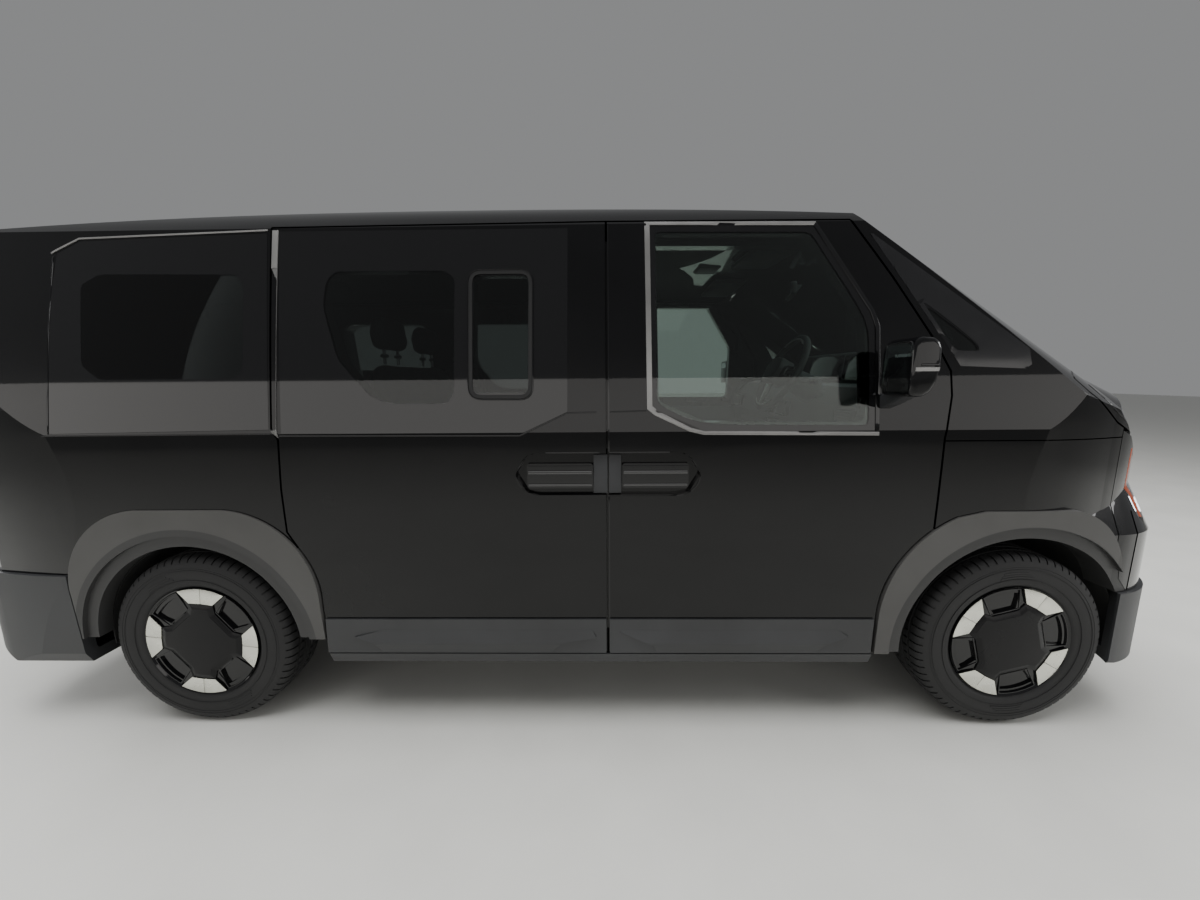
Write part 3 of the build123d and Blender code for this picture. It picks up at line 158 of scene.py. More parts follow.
def bump(tree, height, strength, distance, under=None):
    node = tree.nodes.new("ShaderNodeBump")
    node.inputs["Strength"].default_value = strength
    node.inputs["Distance"].default_value = distance
    tree.links.new(height, node.inputs["Height"])
    if under is not None:
        tree.links.new(under, node.inputs["Normal"])
    return node.outputs["Normal"]


def shader_of(finish):
    return finish.node_tree.nodes["Principled BSDF"]


def grained(name, colour, roughness, grain=900.0, strength=0.35, distance=0.0003, shade=0.25, **sockets):
    """Moulded or cast surface: fine grain, slow changes of colour and of gloss."""
    finish = new_finish(name, colour, roughness, **sockets)
    tree = finish.node_tree
    shader = shader_of(finish)
    vector = place_input(tree)
    slow = noise(tree, vector, 3.0)
    fine = noise(tree, vector, grain, 2.0)
    darker = tuple(c * (1.0 - shade) for c in colour)
    lighter = tuple(min(1.0, c * (1.0 + shade)) for c in colour)
    tree.links.new(ramp(tree, slow, [(0.3, darker), (0.7, lighter)]), shader.inputs["Base Color"])
    tree.links.new(spread(tree, slow, roughness * 0.88, min(1.0, roughness * 1.12)), shader.inputs["Roughness"])
    tree.links.new(bump(tree, fine, strength, distance), shader.inputs["Normal"])
    return finish


def flare_finish():
    """Wheel arch plastic: pale outer band, and a darker inner band round each wheel where the band steps in; that
    darker colour is painted shade.
    """
    finish = grained("arch_plastic", (0.060, 0.059, 0.057), 0.50, grain=1400.0, strength=0.25)
    tree = finish.node_tree
    shader = shader_of(finish)
    where = tree.nodes.new("ShaderNodeTexCoord")
    reach = None
    for x, z in wheel_places.values():
        offset = tree.nodes.new("ShaderNodeMapping")
        offset.inputs["Location"].default_value = (-x, 0.0, -z)
        offset.inputs["Scale"].default_value = (1.0, 0.0, 1.0)
        length = tree.nodes.new("ShaderNodeVectorMath")
        length.operation = "LENGTH"
        tree.links.new(where.outputs["Object"], offset.inputs["Vector"])
        tree.links.new(offset.outputs["Vector"], length.inputs[0])
        if reach is None:
            reach = length.outputs["Value"]
        else:
            nearest = tree.nodes.new("ShaderNodeMath")
            nearest.operation = "MINIMUM"
            tree.links.new(reach, nearest.inputs[0])
            tree.links.new(length.outputs["Value"], nearest.inputs[1])
            reach = nearest.outputs["Value"]
    slow = noise(tree, place_input(tree), 3.0)
    outer = ramp(tree, slow, [(0.3, (0.052, 0.051, 0.049)), (0.7, (0.072, 0.071, 0.069))])
    # Painted shade: the band within 0.449 m of a wheel's middle steps in, and its colour is darkened to stand for the
    # shade there
    inner = ramp(tree, slow, [(0.3, (0.026, 0.026, 0.026)), (0.7, (0.036, 0.036, 0.036))])
    choose = tree.nodes.new("ShaderNodeMix")
    choose.data_type = "RGBA"
    # Mask of the painted shade: 0 within 0.449 m of a wheel's middle, 1 beyond it
    edge = tree.nodes.new("ShaderNodeMath")
    edge.operation = "GREATER_THAN"
    edge.inputs[1].default_value = 0.449
    tree.links.new(reach, edge.inputs[0])
    tree.links.new(edge.outputs["Value"], choose.inputs["Factor"])
    tree.links.new(inner, choose.inputs["A"])
    tree.links.new(outer, choose.inputs["B"])
    tree.links.new(choose.outputs["Result"], shader.inputs["Base Color"])
    return finish


def floor_finish():
    return grained("pale_floor", (0.60, 0.60, 0.57), 0.5, grain=60.0, strength=0.05, distance=0.001, shade=0.03)


def paint_finish():
    finish = new_finish("gloss_black_paint", (0.0022, 0.0022, 0.0025), 0.3, Coat_Weight=1.0, Coat_Roughness=0.012,
                        Coat_IOR=1.36, Specular_IOR_Level=0.06)
    tree = finish.node_tree
    shader = shader_of(finish)
    vector = place_input(tree)
    ripple = noise(tree, vector, 260.0, 2.0)
    slow = noise(tree, vector, 1.6)
    tree.links.new(spread(tree, slow, 0.18, 0.28), shader.inputs["Roughness"])
    tree.links.new(ramp(tree, slow, [(0.35, (0.0016, 0.0016, 0.0019)), (0.7, (0.003, 0.003, 0.0034))]),
                   shader.inputs["Base Color"])
    tree.links.new(bump(tree, ripple, 0.02, 0.0004), shader.inputs["Coat Normal"])
    return finish


def glass_finish(name, tint, gloss=0.0, opening=None, border=(0.004, 0.004, 0.0045)):
    """See-through pane that mirrors by Fresnel. Where an opening is given, the pane is black outside it."""
    finish = bpy.data.materials.new(name)
    finish.use_nodes = True
    tree = finish.node_tree
    tree.nodes.remove(shader_of(finish))
    out = tree.nodes["Material Output"]
    fresnel = tree.nodes.new("ShaderNodeFresnel")
    fresnel.inputs["IOR"].default_value = 1.45
    clear = tree.nodes.new("ShaderNodeBsdfTransparent")
    clear.inputs["Color"].default_value = (*tint, 1.0)
    mirror = tree.nodes.new("ShaderNodeBsdfGlossy")
    mirror.inputs["Roughness"].default_value = gloss
    pane = tree.nodes.new("ShaderNodeMixShader")
    tree.links.new(fresnel.outputs["Fac"], pane.inputs["Fac"])
    tree.links.new(clear.outputs["BSDF"], pane.inputs[1])
    tree.links.new(mirror.outputs["BSDF"], pane.inputs[2])
    result = pane.outputs["Shader"]
    if opening is not None:
        edge = tree.nodes.new("ShaderNodeBsdfPrincipled")
        edge.inputs["Base Color"].default_value = (*border, 1.0)
        edge.inputs["Roughness"].default_value = 0.03
        choose = tree.nodes.new("ShaderNodeMixShader")
        tree.links.new(opening(tree), choose.inputs["Fac"])
        tree.links.new(edge.outputs["BSDF"], choose.inputs[1])
        tree.links.new(result, choose.inputs[2])
        result = choose.outputs["Shader"]
    tree.links.new(result, out.inputs["Surface"])
    return finish


def view_mask(outlines, radius=0.03, edge=0.0006):
    """Node builder: 1 inside any of the outlines drawn in the side view, 0 outside, with rounded corners."""
    def build(tree):
        where = tree.nodes.new("ShaderNodeTexCoord")
        apart = tree.nodes.new("ShaderNodeSeparateXYZ")
        tree.links.new(where.outputs["Object"], apart.inputs["Vector"])

        def calculate(kind, *values):
            node = tree.nodes.new("ShaderNodeMath")
            node.operation = kind
            for socket, value in zip(node.inputs, values):
                if isinstance(value, float):
                    socket.default_value = value
                else:
                    tree.links.new(value, socket)
            return node.outputs["Value"]

        total = None
        for outline in outlines:
            middle = Vector((sum(p[0] for p in outline), sum(p[1] for p in outline))) / len(outline)
            depth = None
            for i, point in enumerate(outline):
                a, b = Vector(point), Vector(outline[(i + 1) % len(outline)])
                inward = Vector((-(b - a).y, (b - a).x)).normalized()
                if (middle - a).dot(inward) < 0:
                    inward.negate()
                part = calculate("ADD", calculate("MULTIPLY", apart.outputs["X"], float(inward.x)),
                                 calculate("MULTIPLY", apart.outputs["Z"], float(inward.y)))
                part = calculate("SUBTRACT", part, float(a.dot(inward)))
                depth = part if depth is None else calculate("SMOOTH_MIN", depth, part, radius)
            inside = calculate("GREATER_THAN", depth, edge)
            total = inside if total is None else calculate("MAXIMUM", total, inside)
        return total
    return build


def machined_finish():
    """Turned aluminium under clear lacquer, with fine marks left by the tool."""
    finish = new_finish("machined_aluminium", (0.76, 0.76, 0.69), 0.26, Metallic=1.0, Coat_Weight=0.5,
                        Coat_Roughness=0.05, Anisotropic=0.4)
    tree = finish.node_tree
    shader = shader_of(finish)
    vector = place_input(tree)
    marks = noise(tree, vector, 1500.0, 2.0)
    slow = noise(tree, vector, 14.0)
    tree.links.new(spread(tree, slow, 0.22, 0.34), shader.inputs["Roughness"])
    tree.links.new(ramp(tree, slow, [(0.3, (0.68, 0.68, 0.61)), (0.7, (0.80, 0.80, 0.72))]),
                   shader.inputs["Base Color"])
    tree.links.new(bump(tree, marks, 0.08, 0.0002), shader.inputs["Normal"])
    return finish


def dress(names, finish):
    for name in names:
        piece = nodes[name]
        for slot_index in range(max(1, len(piece.material_slots))):
            if piece.material_slots:
                piece.material_slots[slot_index].material = finish
            else:
                piece.data.materials.append(finish)


# ---------------------------------------------------------------- modelling steps

def to_object_mode():
    if bpy.context.object is not None and bpy.context.object.mode != "OBJECT":
        bpy.ops.object.mode_set(mode="OBJECT")


def only(piece):
    """Makes one piece the only one selected."""
    to_object_mode()
    for other in bpy.context.selected_objects:
        other.select_set(False)
    piece.select_set(True)
    bpy.context.view_layer.objects.active = piece


def pick(piece, test=None, kind="FACE"):
    """Enters edit mode with the faces, edges or vertices selected that pass test(middle, direction)."""
    only(piece)
    mesh = piece.data
    for group in (mesh.vertices, mesh.edges, mesh.polygons):
        group.foreach_set("select", [False] * len(group))
    bpy.context.tool_settings.mesh_select_mode = (kind == "VERT", kind == "EDGE", kind == "FACE")
    if test is None:
        for group in (mesh.vertices, mesh.edges, mesh.polygons):
            group.foreach_set("select", [True] * len(group))
    elif kind == "FACE":
        for face in mesh.polygons:
            face.select = test(face.center, face.normal)
    elif kind == "EDGE":
        for edge in mesh.edges:
            a, b = (mesh.vertices[i].co for i in edge.vertices)
            edge.select = test((a + b) / 2, (b - a).normalized())
    else:
        for vertex in mesh.vertices:
            vertex.select = test(vertex.co, vertex.normal)
    bpy.ops.object.mode_set(mode="EDIT")


def block(name, low, high):
    """A box between two corners, to shape further."""
    to_object_mode()
    for other in bpy.context.selected_objects:
        other.select_set(False)
    low, high = Vector(low), Vector(high)
    bpy.ops.mesh.primitive_cube_add(size=1.0, location=(low + high) / 2)
    piece = bpy.context.object
    piece.name = name
    piece.scale = high - low
    bpy.ops.object.transform_apply(location=True, rotation=True, scale=True)
    return piece


def drum(name, middle, radius, depth, axis="Y", sides=48, radius_far=None):
    """A cylinder or cone about an axis, to shape further."""
    to_object_mode()
    for other in bpy.context.selected_objects:
        other.select_set(False)
    turn = {"X": (0, math.pi / 2, 0), "Y": (-math.pi / 2, 0, 0), "Z": (0, 0, 0)}[axis]
    far = radius if radius_far is None else radius_far
    bpy.ops.mesh.primitive_cone_add(vertices=sides, radius1=radius, radius2=far, depth=depth,
                                    location=middle, rotation=turn)
    piece = bpy.context.object
    piece.name = name
    bpy.ops.object.transform_apply(location=True, rotation=True, scale=True)
    return piece


def trace(name, points, filled=True):
    """A line drawn vertex by vertex, closed and filled where asked."""
    to_object_mode()
    for other in bpy.context.selected_objects:
        other.select_set(False)
    points = [Vector(p) for p in points]
    bpy.ops.mesh.primitive_plane_add(size=0.01, location=points[0])
    piece = bpy.context.object
    piece.name = name
    bpy.ops.object.transform_apply(location=True, rotation=True, scale=True)
    bpy.ops.object.mode_set(mode="EDIT")
    bpy.ops.mesh.select_mode(type="VERT")
    bpy.ops.mesh.select_all(action="SELECT")
    bpy.ops.mesh.merge(type="CENTER")
    for start, end in zip(points, points[1:]):
        bpy.ops.mesh.extrude_region_move(TRANSFORM_OT_translate={"value": end - start})
    if filled:
        bpy.ops.mesh.select_all(action="SELECT")
        bpy.ops.mesh.edge_face_add()
    bpy.ops.object.mode_set(mode="OBJECT")
    return piece


def push(step):
    bpy.ops.mesh.extrude_region_move(TRANSFORM_OT_translate={"value": step})


def inset(width, depth=0.0):
    bpy.ops.mesh.inset(thickness=width, depth=depth, use_even_offset=True)


def outward(piece):
    pick(piece)
    bpy.ops.mesh.remove_doubles(threshold=0.00001)
    bpy.ops.mesh.normals_make_consistent(inside=False)
    to_object_mode()
    return piece


def modify(piece, kind, **values):
    """Adds one modifier and applies it."""
    only(piece)
    modifier = piece.modifiers.new(kind.lower(), kind)
    for key, value in values.items():
        setattr(modifier, key, value)
    bpy.ops.object.modifier_apply(modifier=modifier.name)
    return piece


def rounded(piece, width, segments=2, angle=30.0):
    return modify(piece, "BEVEL", width=width, segments=segments, limit_method="ANGLE",
                  angle_limit=math.radians(angle), use_clamp_overlap=True)


def smooth(piece, angle=35.0):
    only(piece)
    bpy.ops.object.shade_smooth_by_angle(angle=math.radians(angle))
    return piece


def plate(name, points, step, bevel=0.0, segments=2):
    """An outline pushed out into a solid, its edges rounded."""
    piece = trace(name, points)
    pick(piece)
    push(step)
    outward(piece)
    if bevel:
        rounded(piece, bevel, segments)
    return piece


def joined(name, pieces):
    only(pieces[0])
    for piece in pieces[1:]:
        piece.select_set(True)
    bpy.ops.object.join()
    pieces[0].name = name
    return pieces[0]


def moved(piece, matrix):
    piece.data.transform(matrix)
    if matrix.determinant() < 0:
        piece.data.flip_normals()
    return piece


def copied(piece, name, matrix):
    twin = piece.copy()
    twin.data = piece.data.copy()
    twin.name = name
    scene.collection.objects.link(twin)
    return moved(twin, matrix)


def cut_away(piece, tool, operation="DIFFERENCE"):
    modify(piece, "BOOLEAN", object=tool, operation=operation, solver="EXACT")
    bpy.data.objects.remove(tool)
    return piece


def fit(piece, body, finish):
    """Gives a finished piece its finish and its body."""
    if finish is not None:
        piece.data.materials.clear()
        piece.data.materials.append(finish)
    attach(piece, body)
    return piece


across_middle = Matrix.Scale(-1.0, 4, (0.0, 1.0, 0.0))


def fit_pair(piece, name, bodies, finish):
    """Fits a right-hand piece and its mirrored left-hand twin."""
    twin = copied(piece, f"{name}_left", across_middle)
    piece.name = f"{name}_right"
    fit(piece, bodies[0], finish)
    fit(twin, bodies[1], finish)


def turned_profile(name, points, steps=96):
    """An outline in the plane of Y and Z, turned about the Y axis through the origin."""
    piece = trace(name, [(0.0, y, r) for y, r in points], filled=False)
    pick(piece)
    bpy.ops.mesh.spin(steps=steps, angle=2 * math.pi, center=(0, 0, 0), axis=(0, 1, 0))
    return outward(piece)


# ---------------------------------------------------------------- wheels and tyres

def polar(radius, degrees, y=0.0):
    """Point on a wheel's face: degrees run from the rear-facing side, +X, up towards +Z."""
    turn = math.radians(degrees)
    return (radius * math.cos(turn), y, radius * math.sin(turn))


def arc_points(radius, first, last, count, y):
    return [polar(radius, first + (last - first) * k / (count - 1), y) for k in range(count)]


wheel_places = {"front": (1.575, 0.338), "rear": (-1.420, 0.338)}
wheel_middle_y = 0.818
segment_angle = {"front": 60.0, "rear": 84.0}


def fit_wheels(piece, name, finish, replaced=None):
    """Puts a copy of a piece on each wheel; it is drawn about the origin with its face towards -Y."""
    for end, (x, z) in wheel_places.items():
        turn = Matrix.Rotation(-math.radians(segment_angle[end]), 4, "Y")
        for side, sign in (("right", -1.0), ("left", 1.0)):
            place = Matrix.Translation((x, sign * wheel_middle_y, z))
            hand = across_middle if side == "left" else Matrix.Identity(4)
            twin = copied(piece, f"{name}_{end}_{side}", place @ hand @ turn)
            fit(twin, f"wheel_{end}_{side}", finish)
            if replaced:
                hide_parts(f"{replaced}_{end}_{side}")
    bpy.data.objects.remove(piece)


tread_pitches = 66
tread_groove_depth = 0.0065
tyre_half = [(0.0880, 0.2062), (0.0905, 0.2140), (0.0960, 0.2200), (0.1010, 0.2265), (0.1035, 0.2330),
             (0.1035, 0.2345), (0.1052, 0.2460), (0.1066, 0.2580), (0.1072, 0.2700), (0.1066, 0.2820),
             (0.1052, 0.2920), (0.1040, 0.2930), (0.1036, 0.2955), (0.1046, 0.2965), (0.1022, 0.3060),
             (0.0990, 0.3140), (0.0950, 0.3215), (0.0885, 0.3285), (0.0800, 0.3333), (0.0680, 0.3355),
             (0.0540, 0.3365), (0.0535, 0.3300), (0.0445, 0.3302), (0.0440, 0.3371), (0.0225, 0.3377),
             (0.0220, 0.3308), (0.0130, 0.3310), (0.0125, 0.3379), (0.0, 0.3380)]


def tread_cut(middle):
    """True on the bands of the tread that the cross grooves run through."""
    radius = math.hypot(middle.x, middle.z)
    side = abs(middle.y)
    return radius > 0.311 and (side > 0.056 or 0.0235 < side < 0.0435)


def make_tyre():
    pitch = 2 * math.pi / tread_pitches
    whole = [(-y, r) for y, r in tyre_half] + [(y, r) for y, r in reversed(tyre_half[:-1])]
    tyre = trace("tyre_pitch", [(0.0, y, r) for y, r in whole], filled=False)
    pick(tyre)
    bpy.ops.mesh.spin(steps=2, angle=pitch * 0.8, center=(0, 0, 0), axis=(0, 1, 0))
    bpy.ops.mesh.spin(steps=1, angle=pitch * 0.2, center=(0, 0, 0), axis=(0, 1, 0))
    to_object_mode()
    turned = [math.atan2(v.co.x, v.co.z) for v in tyre.data.vertices]
    sign = 1.0 if max(turned) > 0.01 else -1.0
    groove_turn = sign * pitch * 0.9

    def in_groove(middle, normal):
        turn = math.atan2(middle.x, middle.z)
        return abs(turn - groove_turn) < pitch * 0.08 and tread_cut(middle)

    pick(tyre, in_groove)
    inwards = Vector((math.sin(groove_turn), 0.0, math.cos(groove_turn))) * -tread_groove_depth
    push(inwards)
    pick(tyre)
    bpy.ops.mesh.spin(steps=tread_pitches - 1, angle=sign * pitch * (tread_pitches - 1), dupli=True,
                      center=(0, 0, 0), axis=(0, 1, 0))
    outward(tyre)
    return smooth(tyre, 28.0)


plate_outline = []
for quarter in range(4):
    base = 90.0 * quarter
    plate_outline += [polar(0.1560, base - 16.3), polar(0.1525, base), polar(0.1560, base + 16.3),
                      polar(0.1270, base + 24.0), polar(0.1270, base + 66.0)]


def make_cover_plate():
    """Middle plate of the wheel cover: a raised flat with sloped sides and four arms to the rim segments."""
    face = plate("cover_plate", [(x, -0.0955, z) for x, y, z in plate_outline], (0, -0.0040, 0))
    pick(face, lambda m, n: n.y < -0.9)
    inset(0.017, 0.0045)
    inset(0.0015, 0.0008)
    outward(face)
    rounded(face, 0.0011, 2, 8.0)
    return smooth(face, 22.0)


def make_rim_segments():
    """Four machined segments at the rim, each in two halves that meet at a fine line."""
    halves = []
    for quarter in range(4):
        for hand in (-1, 1):
            base = 90.0 * quarter
            outer = arc_points(0.2115, base + hand * 0.16, base + hand * 24.0, 9, -0.0985)
            inner = [polar(0.1575, base + hand * 16.2, -0.0985), polar(0.1535, base + hand * 0.2, -0.0985)]
            halves.append(plate("rim_segment", outer + inner, (0, -0.0028, 0), 0.0006, 2))
    return smooth(joined("rim_segments", halves))


def make_cover_depth():
    """What shows in the cover's four windows: a lip round each, a spoke with a raised face, and two nuts."""
    parts = []
    for quarter in range(4):
        middle = 90.0 * quarter + 45.0
        edge = arc_points(0.2085, middle - 19.0, middle + 19.0, 11, -0.0975)
        edge += [polar(0.1330, middle + 23.0, -0.0975), polar(0.1330, middle - 23.0, -0.0975)]
        lip = trace("window_lip", edge)
        pick(lip)
        inset(0.0035)
        bpy.ops.mesh.delete(type="FACE")
        to_object_mode()
        pick(lip)
        push((0, 0.018, 0))
        outward(lip)
        parts.append(rounded(lip, 0.0007, 2))
        rib = [polar(0.120, middle - 7.5), polar(0.160, middle - 4.0), polar(0.203, middle - 8.0),
               polar(0.203, middle + 8.0), polar(0.160, middle + 4.0), polar(0.120, middle + 7.5)]
        spoke = plate("wheel_spoke", [(x, -0.060, z) for x, y, z in rib], (0, -0.020, 0))
        pick(spoke, lambda m, n: n.y < -0.9)
        inset(0.006, 0.004)
        parts.append(rounded(outward(spoke), 0.0015, 2, 12.0))
        for hand in (-1, 1):
            nut = drum("wheel_nut", polar(0.150, middle + hand * 13.0, -0.070), 0.0095, 0.018, "Y", 6, 0.0080)
            parts.append(rounded(nut, 0.0012, 2))
    return smooth(joined("cover_depth", parts))


def make_valve_and_beads():
    """Raised rings and short bars moulded on the tyre's outer sidewall."""
    parts = []
    for low, high in ((0.2470, 0.2495), (0.2840, 0.2870)):
        ring = turned_profile("sidewall_ring", [(-0.1050, low), (-0.1078, low + 0.0006),
                                                (-0.1078, high - 0.0006), (-0.1050, high)], 96)
        parts.append(ring)
    for start in (20.0, 200.0):
        for bar in range(3):
            low, high = 0.2545 + bar * 0.0085, 0.2595 + bar * 0.0085
            first, last = start + bar * 2.5, start + 26.0 - bar * 1.5
            edge = arc_points(low, first, last, 10, -0.1058)
            edge += arc_points(high, last, first, 10, -0.1058)
            parts.append(plate("sidewall_bar", edge, (0, -0.0024, 0), 0.0004, 1))
    return smooth(joined("sidewall_marks", parts))


# ---------------------------------------------------------------- strips and panes laid on the skin

def skin_of(*names):
    """A loose copy of some CAD nodes for trim to be laid on. It is deleted before the end."""
    copies = []
    for name in names:
        twin = nodes[name].copy()
        twin.data = nodes[name].data.copy()
        twin.parent = None
        scene.collection.objects.link(twin)
        twin.matrix_world = Matrix.Identity(4)
        copies.append(twin)
    return joined("skin", copies)


def divided(piece, longest):
    """Cuts long edges in two until the piece can follow a curved skin."""
    for step in range(7):
        only(piece)
        mesh = piece.data
        for group in (mesh.vertices, mesh.polygons):
            group.foreach_set("select", [False] * len(group))
        long_edges = 0
        for edge in mesh.edges:
            a, b = (mesh.vertices[i].co for i in edge.vertices)
            edge.select = (b - a).length > longest
            long_edges += edge.select
        if not long_edges:
            break
        bpy.context.tool_settings.mesh_select_mode = (False, True, False)
        bpy.ops.object.mode_set(mode="EDIT")
        bpy.ops.mesh.subdivide(number_cuts=1, quadcorner="STRAIGHT_CUT")
        to_object_mode()
    return piece


def shifted_line(points, distance, closed=True):
    """A line in the side view moved to its left by a distance, with mitred corners."""
    count = len(points)
    result = []
    for i, point in enumerate(points):
        before = points[i - 1] if closed or i > 0 else None
        after = points[(i + 1) % count] if closed or i < count - 1 else None
        sides = []
        for a, b in ((before, point), (point, after)):
            if a is not None and b is not None:
                along = Vector((b[0] - a[0], b[1] - a[1])).normalized()
                sides.append(Vector((-along.y, along.x)))
        normal = sum(sides, Vector((0.0, 0.0))).normalized()
        reach = distance / max(0.3, normal.dot(sides[0]))
        result.append((point[0] + normal.x * reach, point[1] + normal.y * reach))
    return result


def round_line(points, radius, steps=5):
    """A closed outline with its corners rounded."""
    result = []
    count = len(points)
    for i, point in enumerate(points):
        corner = Vector(point)
        before = (Vector(points[i - 1]) - corner)
        after = (Vector(points[(i + 1) % count]) - corner)
        reach = min(radius, before.length * 0.48, after.length * 0.48)
        start = corner + before.normalized() * reach
        end = corner + after.normalized() * reach
        for k in range(steps + 1):
            t = k / steps
            bent = start * (1 - t) ** 2 + corner * 2 * t * (1 - t) + end * t ** 2
            result.append((bent.x, bent.y))
    return result


planes = {"y": lambda a, b: (a, -1.3, b), "x": lambda a, b: (-2.6, a, b), "front": lambda a, b: (2.6, a, b),
          "z": lambda a, b: (a, b, 2.2), "inside": lambda a, b: (a, 0.0, b), "below": lambda a, b: (a, b, -0.4)}


def band(name, first, second, view="y"):
    """A flat strip between two lines with as many points each."""
    place = planes[view]
    lines = [trace(name, [place(a, b) for a, b in line], filled=False) for line in (first, second)]
    strip = joined(name, lines)
    pick(strip)
    bpy.ops.mesh.bridge_edge_loops()
    bpy.ops.mesh.remove_doubles(threshold=0.00001)
    to_object_mode()
    return strip


def pane(name, points, view="y", step=0.05):
    """A gridded sheet cut to an outline that has no hollow corners."""
    place = planes[view]
    to_object_mode()
    for other in bpy.context.selected_objects:
        other.select_set(False)
    low = (min(p[0] for p in points), min(p[1] for p in points))
    high = (max(p[0] for p in points), max(p[1] for p in points))
    counts = [max(1, math.ceil((b - a) / step)) for a, b in zip(low, high)]
    level, upright = (0, 0, 0), (math.pi / 2, 0, 0)
    turn = {"y": upright, "inside": upright, "z": level, "below": level}.get(view, (math.pi / 2, 0, math.pi / 2))
    bpy.ops.mesh.primitive_grid_add(x_subdivisions=counts[0], y_subdivisions=counts[1], size=1.0, rotation=turn)
    sheet = bpy.context.object
    sheet.name = name
    sheet.scale = (high[0] - low[0], high[1] - low[1], 1.0)
    bpy.ops.object.transform_apply(location=False, rotation=True, scale=True)
    middle = ((low[0] + high[0]) / 2, (low[1] + high[1]) / 2)
    moved(sheet, Matrix.Translation(place(*middle)))
    pick(sheet)
    for i, point in enumerate(points):
        after = points[(i + 1) % len(points)]
        a, b = Vector(place(*point)), Vector(place(*after))
        out = (b - a).cross(push_out[view])
        if (Vector(place(*middle)) - a).dot(out) > 0:
            out.negate()
        bpy.ops.mesh.select_all(action="SELECT")
        bpy.ops.mesh.bisect(plane_co=a, plane_no=out.normalized(), clear_outer=True)
    to_object_mode()
    return sheet


push_out = {"y": Vector((0, -1, 0)), "x": Vector((-1, 0, 0)), "front": Vector((1, 0, 0)), "z": Vector((0, 0, 1)),
            "inside": Vector((0, 1, 0)), "below": Vector((0, 0, -1))}


def laid(sheet, skin, height, view="y", sink=0.0006, bevel=0.0, longest=0.05):
    """Lays a flat sheet on the skin, gives it a height away from it and rounds its edges."""
    divided(sheet, longest)
    axis = {"front": "x", "inside": "y", "below": "z"}.get(view, view)
    modify(sheet, "SHRINKWRAP", target=skin, wrap_method="PROJECT", use_negative_direction=True,
           use_positive_direction=True, **{f"use_project_{axis}": True})
    moved(sheet, Matrix.Translation(push_out[view] * -sink))
    pick(sheet)
    push(push_out[view] * (height + sink))
    outward(sheet)
    if bevel:
        rounded(sheet, bevel, 2, 40.0)
    return smooth(sheet, 35.0)


# ---------------------------------------------------------------- trim along the sides

def in_metres(points):
    return [(a / 1000.0, b / 1000.0) for a, b in points]


door_window = in_metres([(1019, 1108), (1019, 1470), (1001, 1522), (812, 1819), (236, 1827), (242, 1201),
                         (268, 1180), (385, 1125), (433, 1114)])
side_bodies = {"front": ("front_door_right", "front_door_left"), "body": ("body", "body")}
sliding_view = in_metres([(-861, 1555), (-848, 1642), (-817, 1672), (-441, 1671), (-407, 1644), (-412, 1253),
                          (-437, 1224), (-636, 1224), (-700, 1250), (-810, 1374)])
vent_view = in_metres([(-343, 1653), (-156, 1651), (-160, 1258), (-347, 1259)])
quarter_view = in_metres([(-1701, 1635), (-1640, 1672), (-1162, 1666), (-1133, 1629), (-1138, 1343),
                          (-1166, 1313), (-1640, 1313), (-1701, 1364)])
corner_view = in_metres([(1159, 1552), (1213, 1513), (1277, 1462), (1343, 1407), (1348, 1385), (1278, 1386),
                         (1256, 1402)])


